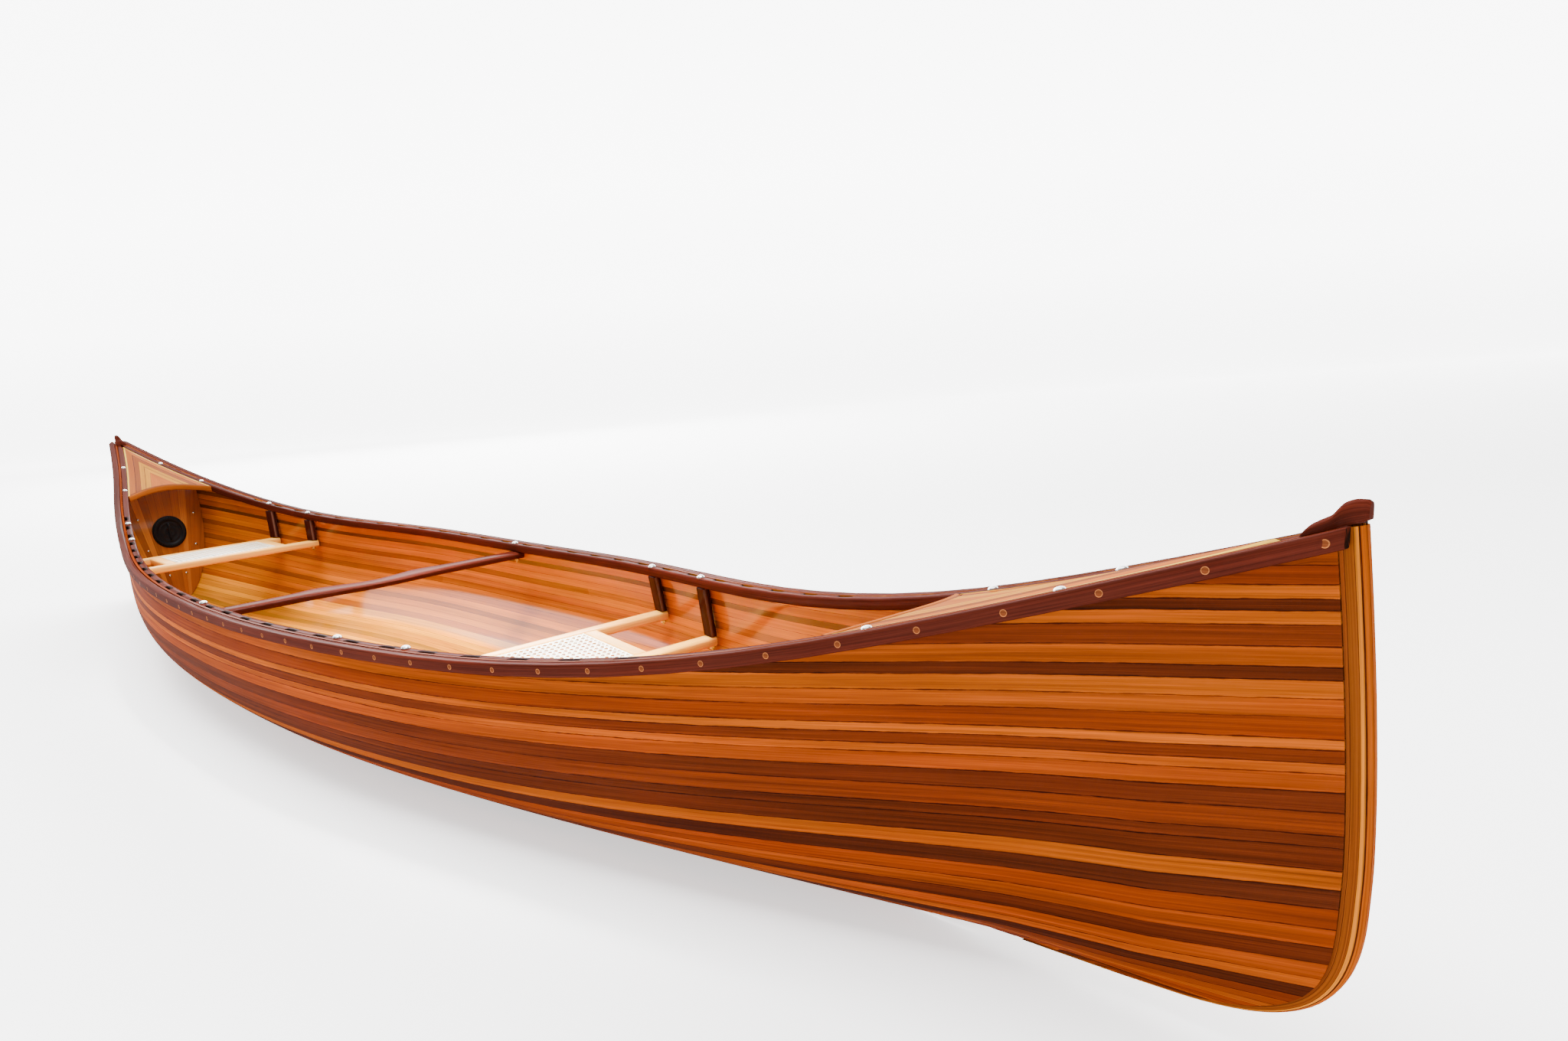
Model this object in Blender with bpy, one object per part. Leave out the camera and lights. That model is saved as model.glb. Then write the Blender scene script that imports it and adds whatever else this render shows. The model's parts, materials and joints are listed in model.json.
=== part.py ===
"""Cedar strip canoe, 4.88 m long, built from its separate wooden pieces.

Frame: +X points to the bow, +Y to port and +Z up. The origin is under the middle of the hull,
on the flat part of its bottom. All lengths are in metres. Bow and stern mirror each other.
"""
import math

import bmesh
import bpy
import numpy as np
from mathutils import Matrix, Vector

# Driving dimensions of the hull
HALF_LENGTH = 2.44          # middle of the hull to the front of a stem
ROCKER = 0.045              # rise of the keel line at the ends
KEEL_FLAT = 0.25            # half length of the level part of the keel line
KEEL_POWER = 3.4
PLANK = 0.006               # planking thickness
GAP = 0.0003                # play between neighbouring pieces
BOTTOM_FLAT = 0.10          # half width of the flat bottom amidships
TUMBLEHOME = 0.028          # how far the side swells out below the gunwale
FULL_MIDDLE = 3.1          # superellipse power of the middle section
FULL_END = 1.25             # and of the sections at the stems
STEM_LINE_X = 2.40          # station where the planking ends at the gunwale

# Lofting stations: distance from the middle, half breadth and height of the sheer
STATION_X = (0.0, 0.61, 1.22, 1.71, 2.07, 2.40)
HALF_BREADTH = (0.443, 0.412, 0.304, 0.190, 0.092, 0.0135)
SHEER_HEIGHT = (0.336, 0.345, 0.369, 0.443, 0.534, 0.627)

# Stem profile: a superelliptic forefoot below a slightly recurved upper part
FOOT_X = 2.157
FOOT_RISE = 0.215
FOOT_POWER = 3.5
STEM_TUCK = 0.032
STEM_TOP_Z = 0.631
STEM_FEATHER_X = 2.00       # where the outer stem runs out under the hull
STEM_BAND = (0.0015, 0.006, 0.017, 0.025)   # its depth from the feathered end to the top
STEM_HALF_WIDTH = 0.012
STEM_NOSE_HALF_WIDTH = 0.005
INNER_STEM_DEPTH = 0.020
INNER_STEM_HALF_WIDTH = 0.0050

# Gunwales
RAIL_WIDTH = 0.022          # outwale thickness
INWALE_WIDTH = 0.020
RAIL_HEIGHT = 0.022
OUTWALE_END_X = 2.397
INWALE_END_X = 2.362
SLOT_PITCH = 0.119
SLOT_LENGTH = 0.050
SLOT_DEPTH = 0.008
SLOTS_EACH_WAY = 13

# Thwart and seats
YOKE_X = -0.037
YOKE_THICKNESS = 0.019
SEAT_BOLT_SPACING = 0.229
SEATS = {
    # centre, top of the rear rail, top of the front rail, outboard splay of the hangers
    "bow": (0.787, 0.236, 0.215, 0.012),
    "stern": (-1.340, 0.272, 0.272, 0.0),
}
SEAT_RAIL_WIDTH = 0.038
SEAT_RAIL_HEIGHT = 0.022
STRETCHER_Y = 0.181
STRETCHER_WIDTH = 0.036
HANGER_X = 0.036
HANGER_Y = 0.017
CANE_THICKNESS = 0.003

# Decks, bulkheads and hatches
DECK_CORNER_X = 1.787
DECK_SAGITTA = 0.058
DECK_TIP_X = 2.325
DECK_THICKNESS = 0.006
DECK_CROWN = 0.004
DECK_BORDER = 0.030
COAMING_WIDTH = 0.012
COAMING_HEIGHT = 0.018
BULKHEAD_X = 1.915
BULKHEAD_THICKNESS = 0.006
BULKHEAD_PLAY = 0.0016
HATCH_Z = 0.297
HATCH_HOLE_RADIUS = 0.0525
HATCH_RING_RADIUS = 0.061
HATCH_LID_RADIUS = 0.0565
HATCH_THROAT_RADIUS = 0.0495
HATCH_PLUG_RADIUS = 0.0485

# Bolts
BOLT_RADIUS = 0.003
BOLT_HOLE_RADIUS = 0.0036
BOLT_HEAD_RADIUS = 0.009
BOLT_HEAD_HEIGHT = 0.004
NUT_RADIUS = 0.0065
NUT_HEIGHT = 0.006

STATIONS = (0.0, 0.104, 0.16, 0.22, 0.28, 0.34, 0.40, 0.45, 0.50, 0.55, 0.60, 0.65, 0.70,
            0.745, 0.79, 0.83, 0.87, 0.905, 0.94, 0.97, 1.0)
FOOTBALL_END = 0.79         # station where the bottom planking runs out
FOOTBALL_WIDTH = 0.15        # its half width amidships, as a fraction of the section's girth

COLOURS = {
    "cedar": ((0.56, 0.20, 0.035), 0.22, 0.0),
    "mahogany": ((0.13, 0.028, 0.018), 0.25, 0.0),
    "ash": ((0.86, 0.60, 0.28), 0.30, 0.0),
    "cane": ((0.90, 0.84, 0.68), 0.45, 0.0),
    "deck_cedar": ((0.78, 0.42, 0.16), 0.22, 0.0),
    "black_plastic": ((0.012, 0.012, 0.014), 0.40, 0.0),
    "rubber": ((0.02, 0.02, 0.02), 0.75, 0.0),
    "stainless": ((0.72, 0.72, 0.70), 0.22, 1.0),
}


# ---------------------------------------------------------------- scene helpers

def clear_scene():
    for item in list(bpy.data.objects):
        bpy.data.objects.remove(item, do_unlink=True)


def material(name):
    found = bpy.data.materials.get(name)
    if found:
        return found
    colour, roughness, metallic = COLOURS[name]
    made = bpy.data.materials.new(name)
    made.use_nodes = True
    shader = made.node_tree.nodes["Principled BSDF"]
    shader.inputs["Base Color"].default_value = (*colour, 1.0)
    shader.inputs["Roughness"].default_value = roughness
    shader.inputs["Metallic"].default_value = metallic
    return made


def add_object(name, mesh_data, material_name):
    item = bpy.data.objects.new(name, mesh_data)
    bpy.context.scene.collection.objects.link(item)
    item.data.materials.append(material(material_name))
    return item


def closed_mesh(name, points, faces, material_name, smooth=True):
    """An object from points and faces, with its faces turned outwards."""
    mesh_data = bpy.data.meshes.new(name)
    mesh_data.from_pydata([tuple(p) for p in points], [], faces)
    work = bmesh.new()
    work.from_mesh(mesh_data)
    bmesh.ops.recalc_face_normals(work, faces=work.faces)
    work.to_mesh(mesh_data)
    work.free()
    if smooth:
        mesh_data.shade_smooth()
        mesh_data.set_sharp_from_angle(angle=math.radians(35))
    return add_object(name, mesh_data, material_name)


def shell(name, outer, inner, material_name):
    """A closed plate between two grids of points of the same size."""
    rows = len(outer)
    columns = len(outer[0])
    points = [p for row in outer for p in row] + [p for row in inner for p in row]
    offset = rows * columns

    def at(i, j, side):
        return side * offset + i * columns + j

    faces = []
    for i in range(rows - 1):
        for j in range(columns - 1):
            faces.append((at(i, j, 0), at(i + 1, j, 0), at(i + 1, j + 1, 0), at(i, j + 1, 0)))
            faces.append((at(i, j, 1), at(i, j + 1, 1), at(i + 1, j + 1, 1), at(i + 1, j, 1)))
    for i in range(rows - 1):
        for j in (0, columns - 1):
            faces.append((at(i, j, 0), at(i + 1, j, 0), at(i + 1, j, 1), at(i, j, 1)))
    for j in range(columns - 1):
        for i in (0, rows - 1):
            faces.append((at(i, j, 0), at(i, j + 1, 0), at(i, j + 1, 1), at(i, j, 1)))
    return closed_mesh(name, points, faces, material_name)


def bar(name, rings, material_name):
    """A closed bar through rings that each have the same number of points."""
    size = len(rings[0])
    points = [p for ring in rings for p in ring]
    faces = [tuple(range(size)), tuple((len(rings) - 1) * size + k for k in range(size))]
    for i in range(len(rings) - 1):
        for k in range(size):
            nxt = (k + 1) % size
            faces.append((i * size + k, i * size + nxt, (i + 1) * size + nxt, (i + 1) * size + k))
    return closed_mesh(name, points, faces, material_name)


def prism(name, outline, low, high, material_name):
    """An outline of (x, y) points, raised from low to high, which may depend on x and y."""
    rings = []
    for level in (low, high):
        height = level if callable(level) else (lambda x, y, value=level: value)
        rings.append([(x, y, height(x, y)) for x, y in outline])
    return bar(name, rings, material_name)


def turned(name, profile, sides, material_name, closed=False):
    """A profile of (radius, height) points turned round the Z axis; closed for a ring."""
    work = bmesh.new()
    verts = [work.verts.new((r, 0.0, h)) for r, h in profile]
    edges = [work.edges.new(pair) for pair in zip(verts, verts[1:])]
    if closed:
        edges.append(work.edges.new((verts[-1], verts[0])))
    bmesh.ops.spin(work, geom=verts + edges, cent=(0, 0, 0), axis=(0, 0, 1),
                   angle=2 * math.pi, steps=sides, use_merge=True)
    bmesh.ops.remove_doubles(work, verts=work.verts, dist=1e-6)
    bmesh.ops.recalc_face_normals(work, faces=work.faces)
    mesh_data = bpy.data.meshes.new(name)
    work.to_mesh(mesh_data)
    work.free()
    mesh_data.shade_smooth()
    mesh_data.set_sharp_from_angle(angle=math.radians(35))
    return add_object(name, mesh_data, material_name)


def cutter(name, radius, length, matrix):
    """A hidden round cutter along its own Z axis."""
    work = bmesh.new()
    bmesh.ops.create_cone(work, cap_ends=True, segments=10, radius1=radius, radius2=radius,
                          depth=length)
    mesh_data = bpy.data.meshes.new(name)
    work.to_mesh(mesh_data)
    work.free()
    item = bpy.data.objects.new(name, mesh_data)
    bpy.context.scene.collection.objects.link(item)
    item.matrix_world = matrix
    item.hide_render = True
    item.display_type = "WIRE"
    return item


def boolean(item, tool, operation):
    step = item.modifiers.new(tool.name, "BOOLEAN")
    step.operation = operation
    step.solver = "EXACT"
    step.object = tool


# ---------------------------------------------------------------- hull lines

def fair_curve(stations, values):
    """A cubic spline through the values, level at the first station and straight at the last."""
    x = np.array(stations)
    y = np.array(values)
    count = len(x)
    step = np.diff(x)
    matrix = np.zeros((count, count))
    right = np.zeros(count)
    matrix[0, 0] = step[0] / 3
    matrix[0, 1] = step[0] / 6
    right[0] = (y[1] - y[0]) / step[0]
    for i in range(1, count - 1):
        matrix[i, i - 1] = step[i - 1] / 6
        matrix[i, i] = (step[i - 1] + step[i]) / 3
        matrix[i, i + 1] = step[i] / 6
        right[i] = (y[i + 1] - y[i]) / step[i] - (y[i] - y[i - 1]) / step[i - 1]
    matrix[-1, -1] = 1.0
    bend = np.linalg.solve(matrix, right)

    def value(at):
        i = min(max(int(np.searchsorted(x, at)) - 1, 0), count - 2)
        a = (x[i + 1] - at) / step[i]
        b = 1.0 - a
        curve = ((a ** 3 - a) * bend[i] + (b ** 3 - b) * bend[i + 1]) * step[i] ** 2 / 6
        return float(a * y[i] + b * y[i + 1] + curve)

    return value


half_breadth = fair_curve(STATION_X, HALF_BREADTH)
sheer_height = fair_curve(STATION_X, SHEER_HEIGHT)


def keel_height(x):
    beyond = max(0.0, (x - KEEL_FLAT) / (HALF_LENGTH - KEEL_FLAT))
    return ROCKER * beyond ** KEEL_POWER


def stem_profile():
    """Front outline of a stem as (x, z, depth) from its feathered end to the top."""
    points = []
    for x in np.linspace(STEM_FEATHER_X, FOOT_X, 4)[:-1]:
        share = (x - STEM_FEATHER_X) / (FOOT_X - STEM_FEATHER_X)
        points.append((x, keel_height(x), STEM_BAND[0] + share * (STEM_BAND[1] - STEM_BAND[0])))
    reach = HALF_LENGTH - FOOT_X
    for angle in np.linspace(0.0, math.pi / 2, 12):
        x = FOOT_X + reach * math.sin(angle) ** (2 / FOOT_POWER)
        z = keel_height(x) + FOOT_RISE * (1 - math.cos(angle) ** (2 / FOOT_POWER))
        depth = float(np.interp(angle, (0.0, 0.9, 1.4), STEM_BAND[1:]))
        points.append((x, z, depth))
    apex_z = points[-1][1]
    for z in np.linspace(apex_z, STEM_TOP_Z, 8)[1:]:
        share = (z - apex_z) / (STEM_TOP_Z - apex_z)
        points.append((HALF_LENGTH - STEM_TUCK * share ** 1.5, z, STEM_BAND[3]))
    return points


def offset_profile(points, extra=0.0):
    """The stem profile moved inwards by its own depth plus an extra distance."""
    result = []
    for i, (x, z, depth) in enumerate(points):
        before = points[max(i - 1, 0)]
        after = points[min(i + 1, len(points) - 1)]
        dx = after[0] - before[0]
        dz = after[1] - before[1]
        length = math.hypot(dx, dz)
        move = depth + extra
        result.append((x - dz / length * move, z + dx / length * move))
    return result


PROFILE = stem_profile()
STEM_LINE = offset_profile(PROFILE, GAP)
STEM_FOOT = next(point for point in STEM_LINE if point[0] >= FOOT_X - 0.012)
STEM_LINE_UPPER = [point for point in STEM_LINE if point[1] >= STEM_FOOT[1]]


def planking_end_x(z):
    """Where the planking meets the stem at height z."""
    return float(np.interp(z, [p[1] for p in STEM_LINE_UPPER], [p[0] for p in STEM_LINE_UPPER]))


def planking_keel(x):
    """Height of the planking's lowest line, which rises over the feathered stem."""
    if x <= STEM_LINE[0][0]:
        near = max(0.0, (x - STEM_LINE[0][0] + 0.1) / 0.1)
        return keel_height(x) + near * (STEM_BAND[0] + GAP)
    return float(np.interp(x, [p[0] for p in STEM_LINE], [p[1] for p in STEM_LINE]))


def section(u, samples=160):
    """Outer section of the port side at station u, 0 amidships and 1 at the stem, keel to sheer."""
    keel_x = u * STEM_LINE_X + u ** 6 * (STEM_FOOT[0] - STEM_LINE_X)
    low = planking_keel(keel_x)
    top = sheer_height(u * STEM_LINE_X)
    breadth = half_breadth(u * STEM_LINE_X)
    flat = BOTTOM_FLAT * max(0.0, 1 - (u / 0.85) ** 2)
    start = max(flat, (STEM_HALF_WIDTH + 0.0005) * u ** 10)
    power = FULL_MIDDLE + (FULL_END - FULL_MIDDLE) * u ** 1.95
    swell = TUMBLEHOME * (1 - u ** 3)
    below_rail = top - low - RAIL_HEIGHT - 0.002
    points = []
    centre_y = (STEM_HALF_WIDTH + 0.0005) * u ** 10
    centre_y = max(centre_y, GAP / 2)
    if flat > centre_y:
        points.append((keel_x, centre_y, low))
    for k in range(samples + 1):
        rise = (k / samples) ** 2
        full = (1 - (1 - rise) ** power) ** (1 / power)
        y = max(start, centre_y) + (breadth - max(start, centre_y)) * full
        y += swell * math.sin(math.pi * min(rise * (top - low) / below_rail, 1.0))
        z = low + (top - low) * rise
        x = u * STEM_LINE_X + u ** 6 * (planking_end_x(z) - STEM_LINE_X)
        points.append((x, y, z))
    return np.array(points)


SECTION_CACHE = {}


def hull_point(u, t):
    """Outer planking point of the port side; t is the share of the girth from keel to sheer."""
    key = round(abs(u), 6)
    if key not in SECTION_CACHE:
        points = section(key)
        length = np.concatenate(([0.0], np.cumsum(np.linalg.norm(np.diff(points, axis=0), axis=1))))
        SECTION_CACHE[key] = (points, length / length[-1], length[-1])
    points, share, _ = SECTION_CACHE[key]
    x, y, z = (float(np.interp(t, share, points[:, axis])) for axis in range(3))
    return Vector((math.copysign(x, u) if u else x, y, z))


def girth(u):
    hull_point(u, 0.0)
    return SECTION_CACHE[round(abs(u), 6)][2]


def inner_point(u, t, depth=PLANK):
    """The same point on the inside of the planking."""
    step = 0.004
    near = abs(u)
    along = hull_point(min(near + step, 1.0), t) - hull_point(max(near - step, 0.0), t)
    if near < step:
        along = Vector((1, 0, 0))
    around = hull_point(near, min(t + step, 1.0)) - hull_point(near, max(t - step, 0.0))
    normal = around.cross(along)
    if near > 0.9:
        normal.z = min(normal.z, 0.0)
    normal.normalize()
    point = hull_point(near, t) - normal * depth
    point.y = max(point.y, GAP / 2)
    if u < 0:
        point.x = -point.x
    return point


def on_side(point, side):
    return (point.x, side * point.y, point.z)


ALL_STATIONS = [-u for u in reversed(STATIONS[1:])] + list(STATIONS)
SHEER_POINTS = [hull_point(u, 1.0) for u in STATIONS]


def edge_breadth(x):
    """Outside of the planking at the sheer, along the straight runs between stations."""
    return float(np.interp(abs(x), [p.x for p in SHEER_POINTS], [p.y for p in SHEER_POINTS]))


def edge_height(x):
    last = SHEER_POINTS[-1]
    before = SHEER_POINTS[-2]
    if abs(x) > last.x:
        slope = (last.z - before.z) / (last.x - before.x)
        return last.z + slope * (abs(x) - last.x)
    return float(np.interp(abs(x), [p.x for p in SHEER_POINTS], [p.z for p in SHEER_POINTS]))


# ---------------------------------------------------------------- planking

def football_share(u):
    """Half width of the bottom planking as a share of the girth."""
    return FOOTBALL_WIDTH * max(0.0, 1 - (abs(u) / (FOOTBALL_END + 0.02)) ** 2)


SIDE_COLUMNS = 19


def side_grid(find_point):
    """Port side planking as rows of points, one row for each station."""
    rows = []
    for u in ALL_STATIONS:
        low = football_share(u) + GAP / girth(u)
        high = 1 - (RAIL_HEIGHT + 0.0025) / girth(u)
        shares = [low + (high - low) * k / (SIDE_COLUMNS - 2) for k in range(SIDE_COLUMNS - 1)]
        rows.append([find_point(u, t) for t in shares + [1.0]])
    return rows


OUTER_GRID = side_grid(hull_point)
INNER_GRID = side_grid(inner_point)


def inside_section(x):
    """Inside of the port planking in the plane at x, as (y, z) from the bottom to the sheer."""
    result = []
    for k in range(SIDE_COLUMNS):
        column = [row[k] for row in INNER_GRID]
        xs = [p.x for p in column]
        result.append((float(np.interp(x, xs, [p.y for p in column])),
                       float(np.interp(x, xs, [p.z for p in column]))))
    return result


def inside_breadth(x, z):
    line = inside_section(x)
    return float(np.interp(z, [p[1] for p in line], [p[0] for p in line]))


def make_side_planking(name, side):
    outer = [[on_side(point, side) for point in row] for row in OUTER_GRID]
    inner = [[on_side(point, side) for point in row] for row in INNER_GRID]
    shell(name, outer, inner, "cedar")


def make_bottom_planking(name, side):
    """One half of the bottom planking, from the keel line to where the side planking starts."""
    columns = 4
    outer = []
    inner = []
    for u in (v for v in ALL_STATIONS if abs(v) <= FOOTBALL_END):
        shares = [football_share(u) * k / (columns - 1) for k in range(columns)]
        outer.append([on_side(hull_point(u, t), side) for t in shares])
        inner.append([on_side(inner_point(u, t), side) for t in shares])
    shell(name, outer, inner, "cedar")


# ---------------------------------------------------------------- stems and caps

def end_name(end):
    return "bow" if end > 0 else "stern"


def make_outer_stem(end):
    rings = []
    middle = offset_profile([(x, z, depth * 0.35) for x, z, depth in PROFILE])
    inside = offset_profile(PROFILE)
    for (x, z, depth), (mx, mz), (ix, iz) in zip(PROFILE, middle, inside):
        slim = min(1.0, depth / STEM_BAND[2])
        nose = STEM_NOSE_HALF_WIDTH * slim + 0.002 * (1 - slim)
        wide = STEM_HALF_WIDTH * (0.6 + 0.4 * slim)
        rings.append([(end * x, -nose, z), (end * x, nose, z), (end * mx, wide * 0.93, mz),
                      (end * ix, wide, iz), (end * ix, -wide, iz), (end * mx, -wide * 0.93, mz)])
    top = []
    for x, y, z in rings[-1]:
        top.append((x, y, edge_height(abs(x)) - GAP))
    rings[-1] = top
    bar("outer_stem_" + end_name(end), rings, "cedar")


def make_inner_stem(end):
    low = 0.10
    top = edge_height(INWALE_END_X) - RAIL_HEIGHT - 0.010
    rings = []
    for z in np.linspace(low, top, 9):
        front = planking_end_x(z) - 2 * GAP
        rear = front - INNER_STEM_DEPTH
        half = INNER_STEM_HALF_WIDTH
        rings.append([(end * front, -half, z), (end * front, half, z),
                      (end * rear, half + 0.001, z), (end * rear, -half - 0.001, z)])
    bar("inner_stem_" + end_name(end), rings, "ash")


def cap_height(share):
    """Top of the cap over the sheer, from its inboard end (0) to its nose (1)."""
    stations = (0.0, 0.05, 0.15, 0.40, 0.48, 0.62, 0.78, 0.90, 1.0)
    heights = (0.003, 0.008, 0.0115, 0.0145, 0.0175, 0.0245, 0.0240, 0.0205, 0.0175)
    return float(np.interp(share, stations, heights))


def make_stem_cap(end):
    start = 2.350
    stop = 2.410
    rings = []
    for share in (0.0, 0.05, 0.15, 0.40, 0.48, 0.54, 0.62, 0.70, 0.78, 0.90, 1.0):
        x = start + share * (stop - start)
        base = edge_height(x) + 2 * GAP
        wide = max(edge_breadth(min(x, SHEER_POINTS[-1].x)) - 0.001, 0.0125)
        if share > 0.9:
            wide *= 0.8
        top = base + cap_height(share)
        rings.append([(end * x, -wide, base), (end * x, wide, base),
                      (end * x, wide, base + 0.6 * cap_height(share)), (end * x, 0.6 * wide, top),
                      (end * x, -0.6 * wide, top),
                      (end * x, -wide, base + 0.6 * cap_height(share))])
    bar("stem_cap_" + end_name(end), rings, "mahogany")


# ---------------------------------------------------------------- gunwales

def slot_centres():
    result = []
    for k in range(SLOTS_EACH_WAY):
        result += [YOKE_X + (k + 0.5) * SLOT_PITCH, YOKE_X - (k + 0.5) * SLOT_PITCH]
    return sorted(result)


def station_list(limit):
    inside = [math.copysign(p.x, s) for p in SHEER_POINTS for s in (-1, 1) if p.x < limit - 0.004]
    return sorted(set(round(x, 6) for x in inside + [-limit, limit]))


def make_outwale(name, side):
    rings = []
    for x in station_list(OUTWALE_END_X):
        inner = edge_breadth(x) + 3 * GAP
        outer = inner + (RAIL_WIDTH if abs(x) < OUTWALE_END_X else 0.6 * RAIL_WIDTH)
        top = edge_height(x)
        low = top - RAIL_HEIGHT
        rings.append([(x, side * inner, low), (x, side * outer, low),
                      (x, side * outer, top), (x, side * inner, top)])
    bar(name, rings, "mahogany")


def inwale_faces(x):
    """Outboard and inboard y of an inwale, which thins where the two meet at the stem."""
    outboard = edge_breadth(x) - PLANK * 1.04 - GAP
    return outboard, max(outboard - INWALE_WIDTH, 0.0030)


def make_inwale(name, side):
    step = 0.004
    places = {x: 0.0 for x in station_list(INWALE_END_X)}
    for centre in slot_centres():
        low = centre - SLOT_LENGTH / 2
        high = centre + SLOT_LENGTH / 2
        for x in [x for x in places if low - 0.002 < x < high + 0.002]:
            if places[x] == 0.0:
                places[x] = SLOT_DEPTH
        places.update({low: 0.0, low + step: SLOT_DEPTH, high - step: SLOT_DEPTH, high: 0.0})
    rings = []
    for x in sorted(places):
        outboard, inboard = inwale_faces(x)
        outboard -= places[x]
        top = edge_height(x)
        low = top - RAIL_HEIGHT
        rings.append([(x, side * inboard, low), (x, side * outboard, low),
                      (x, side * outboard, top), (x, side * inboard, top)])
    return bar(name, rings, "mahogany")


# ---------------------------------------------------------------- decks

def deck_half(x):
    return inwale_faces(x)[1] - GAP


def deck_edge_x(v, shift=0.0):
    return DECK_CORNER_X + DECK_SAGITTA * (1 - v * v) + shift


def deck_top(x, y):
    half = max(deck_half(x), 0.002)
    return edge_height(x) - 0.001 + DECK_CROWN * (1 - min(1.0, abs(y) / half) ** 2)


def make_deck(end):
    """The whole deck as one plate; the field is cut out of it as a separate piece."""
    columns = 9
    inside = [p.x for p in SHEER_POINTS if DECK_CORNER_X + 0.005 < p.x < DECK_TIP_X - 0.005]
    places = [DECK_CORNER_X] + inside + [DECK_TIP_X]
    shares = [(x - DECK_CORNER_X) / (DECK_TIP_X - DECK_CORNER_X) for x in places]

    def plate(name):
        outer = []
        inner = []
        for share in shares:
            row_out = []
            row_in = []
            for j in range(columns):
                v = -1 + 2 * j / (columns - 1)
                start = deck_edge_x(v)
                x = start + (DECK_TIP_X - start) * share
                y = v * deck_half(x)
                z = deck_top(x, y)
                row_out.append((end * x, y, z))
                row_in.append((end * x, y, z - DECK_THICKNESS))
            outer.append(row_out)
            inner.append(row_in)
        return shell(name, outer, inner, "deck_cedar")

    def field_cutter(name, margin):
        outline = []
        start = DECK_CORNER_X - 0.03
        xs = [x for x in np.linspace(start, DECK_TIP_X, 24) if deck_half(x) > margin + 0.004]
        for x in xs:
            outline.append((end * x, deck_half(x) - margin))
        for x in reversed(xs):
            outline.append((end * x, margin - deck_half(x)))
        item = prism(name, outline, 0.30, 0.80, "deck_cedar")
        item.hide_render = True
        item.display_type = "WIRE"
        return item

    border = plate("deck_border_" + end_name(end))
    field = plate("deck_field_" + end_name(end))
    boolean(border, field_cutter("cut_border_" + end_name(end), DECK_BORDER - GAP), "DIFFERENCE")
    boolean(field, field_cutter("cut_field_" + end_name(end), DECK_BORDER), "INTERSECT")


def make_coaming(end):
    columns = 9
    rings = []
    for j in range(columns):
        v = -1 + 2 * j / (columns - 1)
        y = v * deck_half(deck_edge_x(v))
        ring = []
        for shift, drop in ((-GAP, -0.001), (-GAP, COAMING_HEIGHT), (-COAMING_WIDTH, COAMING_HEIGHT),
                            (-COAMING_WIDTH, -0.001)):
            x = deck_edge_x(v, shift)
            ring.append((end * x, y, deck_top(x, y) - drop))
        rings.append(ring)
    bar("deck_coaming_" + end_name(end), rings, "mahogany")


# ---------------------------------------------------------------- bulkheads and hatches

def make_bulkhead(end):
    top = edge_height(BULKHEAD_X) - RAIL_HEIGHT - 0.004
    narrow = inside_section(BULKHEAD_X + BULKHEAD_THICKNESS)
    side = [(max(y - BULKHEAD_PLAY, 0.002), z) for y, z in narrow]
    side[0] = (side[0][0], side[0][1] + BULKHEAD_PLAY)
    below = [point for point in side if point[1] < top]
    edge_y = float(np.interp(top, [z for _, z in side], [y for y, _ in side]))
    half = below + [(edge_y, top)]
    outline = half + [(-y, z) for y, z in reversed(half)]
    rings = []
    for x in (BULKHEAD_X, BULKHEAD_X + BULKHEAD_THICKNESS):
        rings.append([(end * x, y, z) for y, z in outline])
    plate = bar("bulkhead_" + end_name(end), rings, "cedar")
    turn = Matrix.Rotation(math.pi / 2, 4, "Y")
    place = Matrix.Translation((end * BULKHEAD_X, 0, HATCH_Z)) @ turn
    hole = cutter("cut_hatch_" + end_name(end), HATCH_HOLE_RADIUS, 0.05, place)
    hole_mesh = bmesh.new()
    bmesh.ops.create_cone(hole_mesh, cap_ends=True, segments=32, radius1=HATCH_HOLE_RADIUS,
                          radius2=HATCH_HOLE_RADIUS, depth=0.05)
    hole_mesh.to_mesh(hole.data)
    hole_mesh.free()
    boolean(plate, hole, "DIFFERENCE")


def hatch_frame(end):
    """Hatch axis: local +Z points into the cockpit, from the bulkhead's cockpit face."""
    turn = Matrix.Rotation(-end * math.pi / 2, 4, "Y")
    return Matrix.Translation((end * BULKHEAD_X, 0, HATCH_Z)) @ turn


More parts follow.
